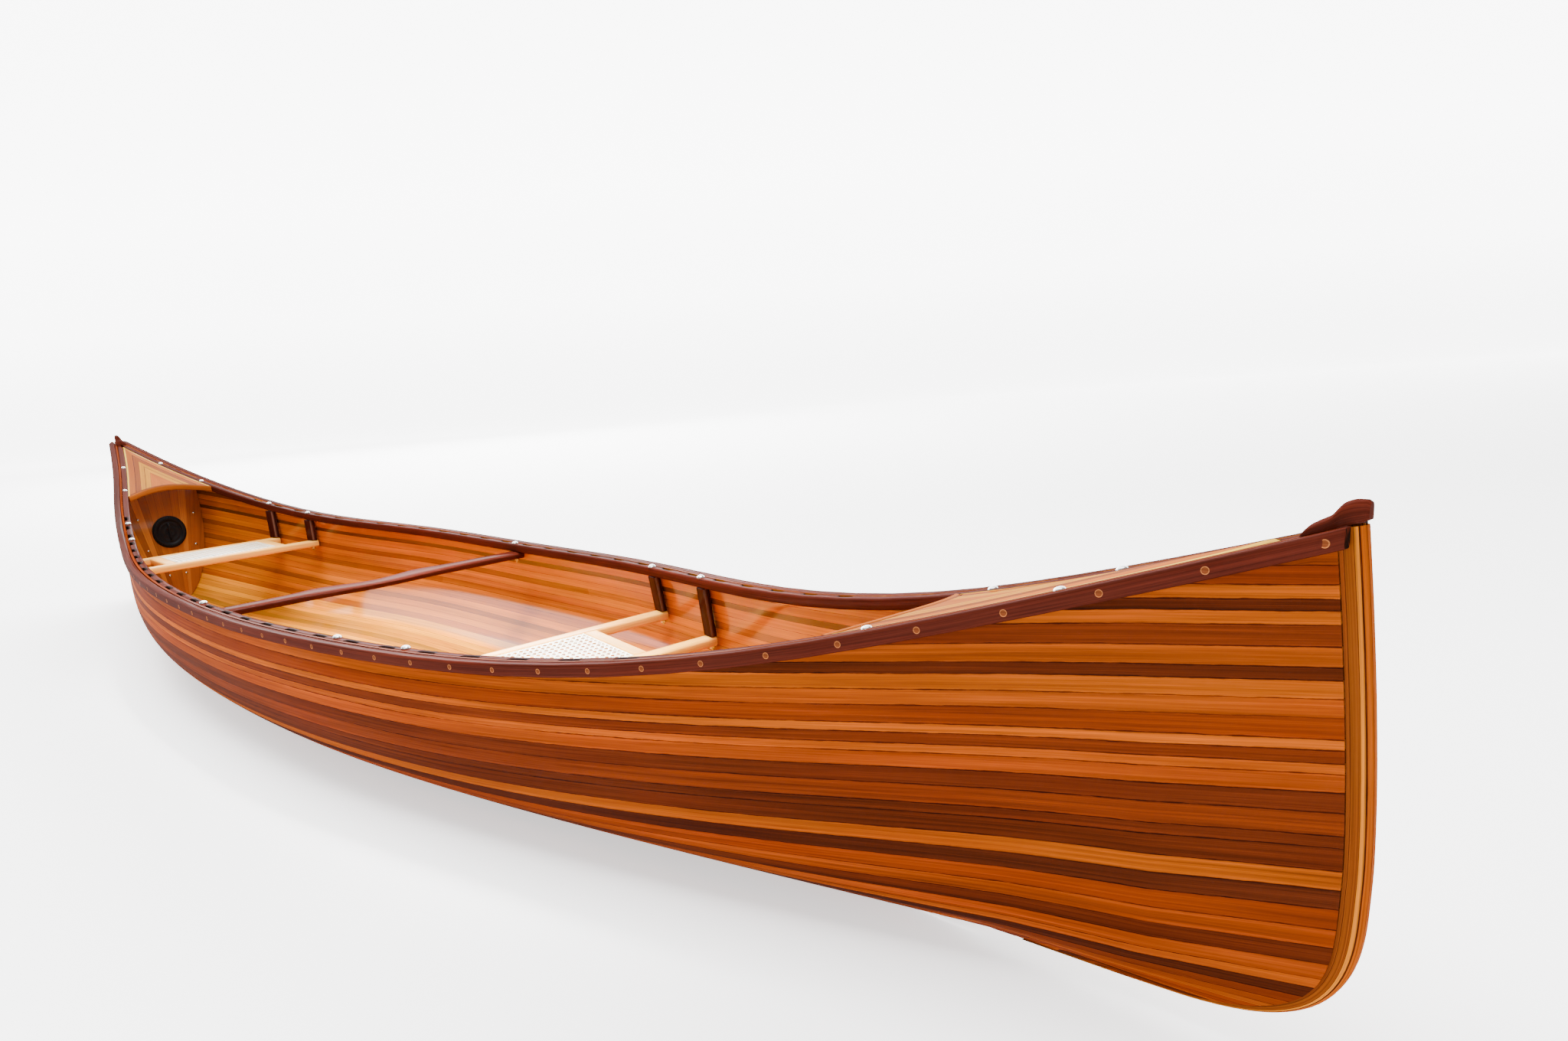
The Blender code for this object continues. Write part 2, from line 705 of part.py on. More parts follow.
def make_hatch(end):
    name = end_name(end)
    place = hatch_frame(end)
    throat = HATCH_THROAT_RADIUS
    ring = turned("hatch_ring_" + name,
                  [(throat, -0.010), (HATCH_HOLE_RADIUS - 0.0006, -0.010),
                   (HATCH_HOLE_RADIUS - 0.0006, GAP), (HATCH_RING_RADIUS, GAP),
                   (HATCH_RING_RADIUS, 0.0028), (HATCH_RING_RADIUS - 0.002, 0.0042),
                   (throat, 0.0042)], 28, "black_plastic", closed=True)
    ring.matrix_world = place
    seal_radius = 0.0525
    tube = 0.0011
    circle = [(seal_radius + tube * math.cos(a), 0.0057 + tube * math.sin(a))
              for a in np.linspace(0, 2 * math.pi, 7)[:-1]]
    seal = turned("hatch_seal_" + name, circle, 24, "rubber", closed=True)
    seal.matrix_world = place
    lid = turned("hatch_lid_" + name,
                 [(0.0, -0.004), (HATCH_PLUG_RADIUS - 0.004, -0.004), (HATCH_PLUG_RADIUS, -0.002),
                  (HATCH_PLUG_RADIUS, 0.0072), (HATCH_LID_RADIUS, 0.0072),
                  (HATCH_LID_RADIUS, 0.0092), (HATCH_LID_RADIUS - 0.0015, 0.0105),
                  (HATCH_PLUG_RADIUS - 0.002, 0.0105), (HATCH_PLUG_RADIUS - 0.006, 0.0065),
                  (0.0, 0.0065)], 28, "black_plastic")
    lid.matrix_world = place
    grip = bpy.data.meshes.new("grip_" + name)
    work = bmesh.new()
    bmesh.ops.create_cube(work, size=1.0)
    bmesh.ops.scale(work, vec=(0.070, 0.012, 0.010), verts=work.verts)
    bmesh.ops.translate(work, vec=(0, 0, 0.0095), verts=work.verts)
    work.to_mesh(grip)
    work.free()
    handle = bpy.data.objects.new("cut_grip_" + name, grip)
    bpy.context.scene.collection.objects.link(handle)
    handle.matrix_world = place
    handle.hide_render = True
    handle.display_type = "WIRE"
    boolean(lid, handle, "UNION")


# ---------------------------------------------------------------- yoke

def bump(value, centre, width):
    return math.exp(-((value - centre) / width) ** 2)


def yoke_edges(y):
    """Aft and forward half widths of the yoke, with its neck cut-out and shoulder pads."""
    aft = 0.030 + 0.020 * bump(abs(y), 0.14, 0.06) - 0.006 * bump(y, 0.0, 0.05)
    forward = 0.030 + 0.020 * bump(y, 0.0, 0.15)
    return aft, forward


def yoke_end_y():
    return edge_breadth(YOKE_X) - PLANK * 1.04 - 0.003


def make_yoke():
    top = edge_height(YOKE_X) - RAIL_HEIGHT - 3 * GAP
    reach = yoke_end_y()
    rings = []
    for y in np.linspace(-reach, reach, 29):
        aft, forward = yoke_edges(y)
        xs = (YOKE_X - aft, YOKE_X + forward)
        inset = 0.005
        low = top - YOKE_THICKNESS
        rings.append([(xs[0] + inset, y, low), (xs[1] - inset, y, low), (xs[1], y, low + inset),
                      (xs[1], y, top - inset), (xs[1] - inset, y, top), (xs[0] + inset, y, top),
                      (xs[0], y, top - inset), (xs[0], y, low + inset)])
    return bar("yoke", rings, "mahogany")


# ---------------------------------------------------------------- seats

def box(name, low, high, material_name):
    corners = [(low[0], low[1]), (high[0], low[1]), (high[0], high[1]), (low[0], high[1])]
    return prism(name, corners, low[2], high[2], material_name)


def hanger_line(x, rail_top, splay):
    """Top and bottom of a hanger's centre line on the port side."""
    outboard, inboard = inwale_faces(x)
    y = (outboard + inboard) / 2
    top = edge_height(x) - RAIL_HEIGHT
    return Vector((x, y, top)), Vector((x, y + splay, rail_top))


def bolt_matrix(top, bottom, side, start):
    """Frame of a bolt along a hanger: local +Z up the bolt, origin on top of the inwale."""
    up = Vector((0, side * (top.y - bottom.y), top.z - bottom.z)).normalized()
    across = Vector((1, 0, 0))
    third = up.cross(across)
    rotation = Matrix((across, third, up)).transposed().to_4x4()
    lift = (start - top.z) / up.z
    origin = Vector((top.x, side * top.y, top.z)) + up * lift
    return Matrix.Translation(origin) @ rotation


def make_bolt(name, matrix, grip):
    """Button head, shank and nut, turned as one piece; grip is the length under the head."""
    clear = 0.0016
    bolt = turned(name, [
        (0.0, BOLT_HEAD_HEIGHT + clear), (0.55 * BOLT_HEAD_RADIUS, 0.85 * BOLT_HEAD_HEIGHT + clear),
        (BOLT_HEAD_RADIUS, 0.25 * BOLT_HEAD_HEIGHT + clear), (BOLT_HEAD_RADIUS, clear),
        (BOLT_RADIUS, clear), (BOLT_RADIUS, -grip - clear), (NUT_RADIUS, -grip - clear),
        (NUT_RADIUS, -grip - clear - NUT_HEIGHT), (BOLT_RADIUS, -grip - clear - NUT_HEIGHT),
        (BOLT_RADIUS, -grip - clear - NUT_HEIGHT - 0.005), (0.0, -grip - clear - NUT_HEIGHT - 0.005),
    ], 12, "stainless")
    bolt.matrix_world = matrix


def make_seat(end, inwales):
    centre, rear_top, front_top, splay = SEATS[end]
    places = {"rear": (centre - SEAT_BOLT_SPACING / 2, rear_top),
              "front": (centre + SEAT_BOLT_SPACING / 2, front_top)}
    half = SEAT_RAIL_WIDTH / 2
    for place, (x, top) in places.items():
        reach = min(inside_breadth(x - half, top - SEAT_RAIL_HEIGHT),
                    inside_breadth(x + half, top - SEAT_RAIL_HEIGHT),
                    inside_breadth(x + half, top)) - 0.004
        rail = box(f"seat_{end}_{place}_rail", (x - half, -reach, top - SEAT_RAIL_HEIGHT),
                   (x + half, reach, top), "ash")
        for side, word in ((1, "port"), (-1, "starboard")):
            upper, lower = hanger_line(x, top, splay)
            rings = []
            for point, gap in ((lower, 2 * GAP), (upper, -2 * GAP)):
                ring = []
                for dx, dy in ((-1, -1), (1, -1), (1, 1), (-1, 1)):
                    corner_x = x + dx * HANGER_X / 2
                    outboard, inboard = inwale_faces(corner_x)
                    y = (outboard + inboard) / 2 + point.y - upper.y + dy * HANGER_Y / 2
                    ring.append((corner_x, side * y, point.z + gap))
                rings.append(ring)
            slope = abs(edge_height(x + HANGER_X / 2) - edge_height(x - HANGER_X / 2)) / 2
            rings[1] = [(px, py, pz - slope) for px, py, pz in rings[1]]
            hanger = bar(f"seat_{end}_{place}_hanger_{word}", rings, "mahogany")
            matrix = bolt_matrix(upper, lower, side, edge_height(x))
            grip = (edge_height(x) - (top - SEAT_RAIL_HEIGHT)) / matrix.col[2][2]
            make_bolt(f"seat_{end}_{place}_bolt_{word}", matrix, grip)
            depth = 0.24
            shifted = matrix @ Matrix.Translation((0, 0, -depth / 2 + 0.02))
            hole = cutter(f"cut_{end}_{place}_{word}", BOLT_HOLE_RADIUS, depth, shifted)
            for item in (inwales[side], hanger, rail):
                boolean(item, hole, "DIFFERENCE")
    rear_x = places["rear"][0] + half + GAP
    front_x = places["front"][0] - half - GAP

    def frame_top(x, y=0.0):
        return rear_top + (front_top - rear_top) * (x - rear_x) / (front_x - rear_x)

    for side, word in ((1, "port"), (-1, "starboard")):
        low = side * STRETCHER_Y - STRETCHER_WIDTH / 2
        outline = [(rear_x, low), (front_x, low), (front_x, low + STRETCHER_WIDTH),
                   (rear_x, low + STRETCHER_WIDTH)]
        prism(f"seat_{end}_stretcher_{word}", outline,
              lambda x, y: frame_top(x) - SEAT_RAIL_HEIGHT, frame_top, "ash")
    reach = STRETCHER_Y - STRETCHER_WIDTH / 2 - GAP
    outline = [(rear_x, -reach), (front_x, -reach), (front_x, reach), (rear_x, reach)]
    prism(f"seat_{end}_cane", outline,
          lambda x, y: frame_top(x) - CANE_THICKNESS - 0.0005,
          lambda x, y: frame_top(x) - 0.0005, "cane")


def bolt_yoke(yoke, inwales):
    for side, word in ((1, "port"), (-1, "starboard")):
        upper, lower = hanger_line(YOKE_X, edge_height(YOKE_X) - 0.05, 0.0)
        matrix = bolt_matrix(upper, lower, side, edge_height(YOKE_X))
        make_bolt("yoke_bolt_" + word, matrix, RAIL_HEIGHT + YOKE_THICKNESS + 3 * GAP)
        depth = 0.12
        shifted = matrix @ Matrix.Translation((0, 0, -depth / 2 + 0.02))
        hole = cutter("cut_yoke_" + word, BOLT_HOLE_RADIUS, depth, shifted)
        for item in (inwales[side], yoke):
            boolean(item, hole, "DIFFERENCE")


def main():
    clear_scene()
    make_side_planking("planking_port", 1)
    make_side_planking("planking_starboard", -1)
    make_bottom_planking("planking_bottom_port", 1)
    make_bottom_planking("planking_bottom_starboard", -1)
    for end in (1, -1):
        make_outer_stem(end)
        make_inner_stem(end)
        make_stem_cap(end)
        make_deck(end)
        make_coaming(end)
        make_bulkhead(end)
        make_hatch(end)
    make_outwale("outwale_port", 1)
    make_outwale("outwale_starboard", -1)
    inwales = {1: make_inwale("inwale_port", 1), -1: make_inwale("inwale_starboard", -1)}
    for end in SEATS:
        make_seat(end, inwales)
    bolt_yoke(make_yoke(), inwales)


main()
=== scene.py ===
"""Looks of the cedar strip canoe: wooden strips, carved trim, woven seats and fittings."""
import json
import math

import bmesh
import bpy
import numpy as np
from mathutils import Matrix, Vector

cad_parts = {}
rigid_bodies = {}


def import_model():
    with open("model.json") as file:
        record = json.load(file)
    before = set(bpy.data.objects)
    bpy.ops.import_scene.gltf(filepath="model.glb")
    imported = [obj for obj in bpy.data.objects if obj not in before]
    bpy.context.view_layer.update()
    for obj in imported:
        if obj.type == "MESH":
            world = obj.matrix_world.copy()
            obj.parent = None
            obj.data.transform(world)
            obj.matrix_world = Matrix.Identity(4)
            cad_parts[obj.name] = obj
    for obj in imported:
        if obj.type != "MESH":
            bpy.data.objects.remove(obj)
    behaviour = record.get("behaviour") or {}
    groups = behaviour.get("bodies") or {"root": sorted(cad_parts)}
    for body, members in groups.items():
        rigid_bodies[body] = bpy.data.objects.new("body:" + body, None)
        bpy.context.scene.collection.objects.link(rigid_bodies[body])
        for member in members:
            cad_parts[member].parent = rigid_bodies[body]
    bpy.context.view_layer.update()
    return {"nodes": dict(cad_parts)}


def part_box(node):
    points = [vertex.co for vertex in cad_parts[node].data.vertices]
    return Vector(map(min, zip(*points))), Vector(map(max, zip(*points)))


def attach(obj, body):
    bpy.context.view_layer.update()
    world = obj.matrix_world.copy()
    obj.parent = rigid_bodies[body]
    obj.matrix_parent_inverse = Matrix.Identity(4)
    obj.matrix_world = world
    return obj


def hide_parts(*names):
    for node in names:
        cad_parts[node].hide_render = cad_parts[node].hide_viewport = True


# Driving dimensions of the hull
HALF_LENGTH = 2.44          # middle of the hull to the front of a stem
ROCKER = 0.045              # rise of the keel line at the ends
KEEL_FLAT = 0.25            # half length of the level part of the keel line
KEEL_POWER = 3.4
PLANK = 0.006               # planking thickness
GAP = 0.0003                # play between neighbouring pieces
BOTTOM_FLAT = 0.10          # half width of the flat bottom amidships
TUMBLEHOME = 0.028          # how far the side swells out below the gunwale
FULL_MIDDLE = 3.1           # superellipse power of the middle section
FULL_END = 1.25             # and of the sections at the stems
STEM_LINE_X = 2.40          # station where the planking ends at the gunwale

# Lofting stations: distance from the middle, half breadth and height of the sheer
STATION_X = (0.0, 0.61, 1.22, 1.71, 2.07, 2.40)
HALF_BREADTH = (0.443, 0.412, 0.304, 0.190, 0.092, 0.0135)
SHEER_HEIGHT = (0.336, 0.345, 0.369, 0.443, 0.534, 0.627)

# Stem profile: a superelliptic forefoot below a slightly recurved upper part
FOOT_X = 2.157
FOOT_RISE = 0.215
FOOT_POWER = 3.5
STEM_TUCK = 0.032
STEM_TOP_Z = 0.631
STEM_FEATHER_X = 2.00       # where the outer stem runs out under the hull
STEM_BAND = (0.0015, 0.006, 0.017, 0.025)   # its depth from the feathered end to the top
STEM_HALF_WIDTH = 0.012
STEM_NOSE_HALF_WIDTH = 0.005

# Gunwales
RAIL_WIDTH = 0.022          # outwale thickness
INWALE_WIDTH = 0.020
RAIL_HEIGHT = 0.022
SLOT_PITCH = 0.119
SLOT_LENGTH = 0.050
SLOT_DEPTH = 0.008
SLOTS_EACH_WAY = 13

# Thwart and seats
YOKE_X = -0.037
YOKE_THICKNESS = 0.019
SEAT_BOLT_SPACING = 0.229
SEATS = {
    # centre, top of the rear rail, top of the front rail, outboard splay of the hangers
    "bow": (0.787, 0.236, 0.215, 0.012),
    "stern": (-1.340, 0.272, 0.272, 0.0),
}
SEAT_RAIL_WIDTH = 0.038
SEAT_RAIL_HEIGHT = 0.022
HANGER_X = 0.036
HANGER_Y = 0.017

# Decks, bulkheads and hatches
DECK_CORNER_X = 1.787
DECK_SAGITTA = 0.058
DECK_TIP_X = 2.325
DECK_THICKNESS = 0.006
DECK_CROWN = 0.004
COAMING_WIDTH = 0.012
COAMING_HEIGHT = 0.018
BULKHEAD_X = 1.915
BULKHEAD_THICKNESS = 0.006
BULKHEAD_PLAY = 0.0016
HATCH_Z = 0.297
HATCH_HOLE_RADIUS = 0.0525
HATCH_RING_RADIUS = 0.061
HATCH_LID_RADIUS = 0.0565
HATCH_THROAT_RADIUS = 0.0495
HATCH_PLUG_RADIUS = 0.0485

# Bolts
BOLT_RADIUS = 0.003
BOLT_HEAD_RADIUS = 0.009
BOLT_HEAD_HEIGHT = 0.004
NUT_RADIUS = 0.0065
NUT_HEIGHT = 0.006

STATIONS = (0.0, 0.104, 0.16, 0.22, 0.28, 0.34, 0.40, 0.45, 0.50, 0.55, 0.60, 0.65, 0.70,
            0.745, 0.79, 0.83, 0.87, 0.905, 0.94, 0.97, 1.0)
FOOTBALL_END = 0.79         # station where the bottom planking runs out
FOOTBALL_WIDTH = 0.15       # its half width amidships, as a fraction of the section's girth

# ---------------------------------------------------------------- small helpers

def arc_length(points):
    """Distance along a line of points, from 0 at its first."""
    steps = np.linalg.norm(np.diff(np.asarray(points, float), axis=0), axis=1)
    return np.concatenate(([0.0], np.cumsum(steps)))


def crossed(first, second):
    """Grid of pairs from two lists, the first down the rows and the second across them."""
    first = np.asarray(first)
    second = np.asarray(second)
    return np.stack(np.broadcast_arrays(first[:, None], second[None, :]), axis=-1)


def placed(points, matrix):
    turn = np.array(matrix)
    return points @ turn[:3, :3].T + turn[:3, 3]


def facing(place, way):
    """Frame at a place, with its local Z along a direction."""
    return Matrix.Translation(place) @ way.to_track_quat("Z", "Y").to_matrix().to_4x4()


def read_off(at, pairs):
    """Straight interpolation in a list of (position, value) pairs."""
    return float(np.interp(at, [pair[0] for pair in pairs], [pair[1] for pair in pairs]))


def add_object(name, data):
    made = bpy.data.objects.new(name, data)
    bpy.context.scene.collection.objects.link(made)
    return made


# ---------------------------------------------------------------- hull lines

def fair_curve(stations, values):
    """A cubic spline through the values, level at the first station and straight at the last."""
    x = np.array(stations)
    y = np.array(values)
    count = len(x)
    step = np.diff(x)
    matrix = np.zeros((count, count))
    right = np.zeros(count)
    matrix[0, 0] = step[0] / 3
    matrix[0, 1] = step[0] / 6
    right[0] = (y[1] - y[0]) / step[0]
    for i in range(1, count - 1):
        matrix[i, i - 1] = step[i - 1] / 6
        matrix[i, i] = (step[i - 1] + step[i]) / 3
        matrix[i, i + 1] = step[i] / 6
        right[i] = (y[i + 1] - y[i]) / step[i] - (y[i] - y[i - 1]) / step[i - 1]
    matrix[-1, -1] = 1.0
    bend = np.linalg.solve(matrix, right)

    def value(at):
        i = min(max(int(np.searchsorted(x, at)) - 1, 0), count - 2)
        a = (x[i + 1] - at) / step[i]
        b = 1.0 - a
        curve = ((a ** 3 - a) * bend[i] + (b ** 3 - b) * bend[i + 1]) * step[i] ** 2 / 6
        return float(a * y[i] + b * y[i + 1] + curve)

    return value


half_breadth = fair_curve(STATION_X, HALF_BREADTH)
sheer_height = fair_curve(STATION_X, SHEER_HEIGHT)


def keel_height(x):
    beyond = max(0.0, (x - KEEL_FLAT) / (HALF_LENGTH - KEEL_FLAT))
    return ROCKER * beyond ** KEEL_POWER


def stem_profile():
    """Front outline of a stem as (x, z, depth) from its feathered end to the top."""
    points = []
    for x in np.linspace(STEM_FEATHER_X, FOOT_X, 4)[:-1]:
        share = (x - STEM_FEATHER_X) / (FOOT_X - STEM_FEATHER_X)
        points.append((x, keel_height(x), STEM_BAND[0] + share * (STEM_BAND[1] - STEM_BAND[0])))
    reach = HALF_LENGTH - FOOT_X
    for angle in np.linspace(0.0, math.pi / 2, 12):
        x = FOOT_X + reach * math.sin(angle) ** (2 / FOOT_POWER)
        z = keel_height(x) + FOOT_RISE * (1 - math.cos(angle) ** (2 / FOOT_POWER))
        depth = float(np.interp(angle, (0.0, 0.9, 1.4), STEM_BAND[1:]))
        points.append((x, z, depth))
    apex_z = points[-1][1]
    for z in np.linspace(apex_z, STEM_TOP_Z, 8)[1:]:
        share = (z - apex_z) / (STEM_TOP_Z - apex_z)
        points.append((HALF_LENGTH - STEM_TUCK * share ** 1.5, z, STEM_BAND[3]))
    return points


def offset_profile(points, extra):
    """The stem profile moved inwards by its own depth plus an extra distance."""
    result = []
    for i, (x, z, depth) in enumerate(points):
        before = points[max(i - 1, 0)]
        after = points[min(i + 1, len(points) - 1)]
        dx = after[0] - before[0]
        dz = after[1] - before[1]
        length = math.hypot(dx, dz)
        move = depth + extra
        result.append((x - dz / length * move, z + dx / length * move))
    return result


PROFILE = stem_profile()
STEM_LINE = offset_profile(PROFILE, GAP)
STEM_FOOT = next(point for point in STEM_LINE if point[0] >= FOOT_X - 0.012)
STEM_LINE_UPPER = [point for point in STEM_LINE if point[1] >= STEM_FOOT[1]]


def planking_end_x(z):
    """Where the planking meets the stem at height z."""
    return read_off(z, [(p[1], p[0]) for p in STEM_LINE_UPPER])


def planking_keel(x):
    """Height of the planking's lowest line, which rises over the feathered stem."""
    if x <= STEM_LINE[0][0]:
        near = max(0.0, (x - STEM_LINE[0][0] + 0.1) / 0.1)
        return keel_height(x) + near * (STEM_BAND[0] + GAP)
    return read_off(x, STEM_LINE)


def section(u, samples=160):
    """Outer section of the port side at station u, 0 amidships and 1 at the stem, keel to sheer."""
    keel_x = u * STEM_LINE_X + u ** 6 * (STEM_FOOT[0] - STEM_LINE_X)
    low = planking_keel(keel_x)
    top = sheer_height(u * STEM_LINE_X)
    breadth = half_breadth(u * STEM_LINE_X)
    flat = BOTTOM_FLAT * max(0.0, 1 - (u / 0.85) ** 2)
    start = max(flat, (STEM_HALF_WIDTH + 0.0005) * u ** 10)
    power = FULL_MIDDLE + (FULL_END - FULL_MIDDLE) * u ** 1.95
    swell = TUMBLEHOME * (1 - u ** 3)
    below_rail = top - low - RAIL_HEIGHT - 0.002
    points = []
    centre_y = (STEM_HALF_WIDTH + 0.0005) * u ** 10
    centre_y = max(centre_y, GAP / 2)
    if flat > centre_y:
        points.append((keel_x, centre_y, low))
    for k in range(samples + 1):
        rise = (k / samples) ** 2
        full = (1 - (1 - rise) ** power) ** (1 / power)
        y = max(start, centre_y) + (breadth - max(start, centre_y)) * full
        y += swell * math.sin(math.pi * min(rise * (top - low) / below_rail, 1.0))
        z = low + (top - low) * rise
        x = u * STEM_LINE_X + u ** 6 * (planking_end_x(z) - STEM_LINE_X)
        points.append((x, y, z))
    return np.array(points)


SECTION_CACHE = {}


def hull_point(u, t):
    """Outer planking point of the port side; t is the share of the girth from keel to sheer."""
    key = round(abs(u), 6)
    if key not in SECTION_CACHE:
        points = section(key)
        length = arc_length(points)
        SECTION_CACHE[key] = (points, length / length[-1], length[-1])
    points, share, _ = SECTION_CACHE[key]
    x, y, z = (float(np.interp(t, share, points[:, axis])) for axis in range(3))
    return Vector((math.copysign(x, u) if u else x, y, z))


def girth(u):
    hull_point(u, 0.0)
    return SECTION_CACHE[round(abs(u), 6)][2]


def inner_point(u, t):
    """The same point on the inside of the planking."""
    step = 0.004
    near = abs(u)
    along = hull_point(min(near + step, 1.0), t) - hull_point(max(near - step, 0.0), t)
    if near < step:
        along = Vector((1, 0, 0))
    around = hull_point(near, min(t + step, 1.0)) - hull_point(near, max(t - step, 0.0))
    normal = around.cross(along)
    if near > 0.9:
        normal.z = min(normal.z, 0.0)
    normal.normalize()
    point = hull_point(near, t) - normal * PLANK
    point.y = max(point.y, GAP / 2)
    if u < 0:
        point.x = -point.x
    return point


ALL_STATIONS = [-u for u in reversed(STATIONS[1:])] + list(STATIONS)
SHEER_POINTS = [hull_point(u, 1.0) for u in STATIONS]


def edge_breadth(x):
    """Outside of the planking at the sheer, along the straight runs between stations."""
    return read_off(abs(x), SHEER_POINTS)


def edge_height(x):
    last = SHEER_POINTS[-1]
    before = SHEER_POINTS[-2]
    if abs(x) > last.x:
        slope = (last.z - before.z) / (last.x - before.x)
        return last.z + slope * (abs(x) - last.x)
    return read_off(abs(x), [(p.x, p.z) for p in SHEER_POINTS])


def football_share(u):
    """Half width of the bottom planking as a share of the girth."""
    return FOOTBALL_WIDTH * max(0.0, 1 - (abs(u) / (FOOTBALL_END + 0.02)) ** 2)


SIDE_COLUMNS = 19


def inner_grid():
    """Inside of the port planking as rows of points, one row for each station."""
    rows = []
    for u in ALL_STATIONS:
        low = football_share(u) + GAP / girth(u)
        high = 1 - (RAIL_HEIGHT + 0.0025) / girth(u)
        shares = [low + (high - low) * k / (SIDE_COLUMNS - 2) for k in range(SIDE_COLUMNS - 1)]
        rows.append([inner_point(u, t) for t in shares + [1.0]])
    return rows


INNER_GRID = inner_grid()


def inside_section(x):
    """Inside of the port planking in the plane at x, as (y, z) from the bottom to the sheer."""
    result = []
    for k in range(SIDE_COLUMNS):
        column = [row[k] for row in INNER_GRID]
        result.append((read_off(x, column), read_off(x, [(p.x, p.z) for p in column])))
    return result


def end_name(end):
    return "bow" if end > 0 else "stern"


def slot_centres():
    result = []
    for k in range(SLOTS_EACH_WAY):
        result += [YOKE_X + (k + 0.5) * SLOT_PITCH, YOKE_X - (k + 0.5) * SLOT_PITCH]
    return sorted(result)


def inwale_faces(x):
    """Outboard and inboard y of an inwale, which thins where the two meet at the stem."""
    outboard = edge_breadth(x) - PLANK * 1.04 - GAP
    return outboard, max(outboard - INWALE_WIDTH, 0.0030)


def deck_half(x):
    return inwale_faces(x)[1] - GAP


def deck_edge_x(v, shift=0.0):
    return DECK_CORNER_X + DECK_SAGITTA * (1 - v * v) + shift


def deck_top(x, y):
    half = max(deck_half(x), 0.002)
    return edge_height(x) - 0.001 + DECK_CROWN * (1 - min(1.0, abs(y) / half) ** 2)


def hatch_frame(end):
    """Hatch axis: local +Z points into the cockpit, from the bulkhead's cockpit face."""
    turn = Matrix.Rotation(-end * math.pi / 2, 4, "Y")
    return Matrix.Translation((end * BULKHEAD_X, 0, HATCH_Z)) @ turn


def bump(value, centre, width):
    return math.exp(-((value - centre) / width) ** 2)


def yoke_edges(y):
    """Aft and forward half widths of the yoke, with its neck cut-out and shoulder pads."""
    aft = 0.030 + 0.020 * bump(abs(y), 0.14, 0.06) - 0.006 * bump(y, 0.0, 0.05)
    forward = 0.030 + 0.020 * bump(y, 0.0, 0.15)
    return aft, forward


def hanger_line(x, rail_top, splay):
    """Top and bottom of a hanger's centre line on the port side."""
    outboard, inboard = inwale_faces(x)
    y = (outboard + inboard) / 2
    top = edge_height(x) - RAIL_HEIGHT
    return Vector((x, y, top)), Vector((x, y + splay, rail_top))


def bolt_matrix(top, bottom, side, start):
    """Frame of a bolt along a hanger: local +Z up the bolt, origin on top of the inwale."""
    up = Vector((0, side * (top.y - bottom.y), top.z - bottom.z)).normalized()
    across = Vector((1, 0, 0))
    third = up.cross(across)
    rotation = Matrix((across, third, up)).transposed().to_4x4()
    lift = (start - top.z) / up.z
    origin = Vector((top.x, side * top.y, top.z)) + up * lift
    return Matrix.Translation(origin) @ rotation


# ---------------------------------------------------------------- frame and palette

for item in list(bpy.data.objects):
    bpy.data.objects.remove(item, do_unlink=True)
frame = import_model()
RANDOM_SEED = 7
draw = np.random.default_rng(RANDOM_SEED)

# Base colours of the woods and the cane, in linear red, green and blue
TONES = {
    "yellow": (0.290, 0.0570, 0.002),
    "gold": (0.240, 0.0430, 0.002),
    "orange": (0.205, 0.0330, 0.002),
    "red": (0.160, 0.0236, 0.002),
    "brown": (0.108, 0.0168, 0.002),
    "dark": (0.070, 0.0116, 0.002),
    "umber": (0.046, 0.0082, 0.002),
    "cream": (0.48, 0.28, 0.03),
    "peach": (0.25, 0.058, 0.001),
    "straw": (0.31, 0.118, 0.001),
    "amber": (0.37, 0.110, 0.005),
    "honey": (0.15, 0.032, 0.001),
    "olive": (0.140, 0.0300, 0.003),
    "russet": (0.145, 0.0340, 0.003),
    "ash": (0.80, 0.38, 0.055),
    "mahogany": (0.054, 0.0094, 0.0050),
    # painted shade: near-black for the faces inside the inwale's slots
    "painted_slot_shade": (0.010, 0.003, 0.002),
    "rosewood": (0.030, 0.0055, 0.0035),
    "cane": (0.93, 0.86, 0.66),
}


# ---------------------------------------------------------------- materials

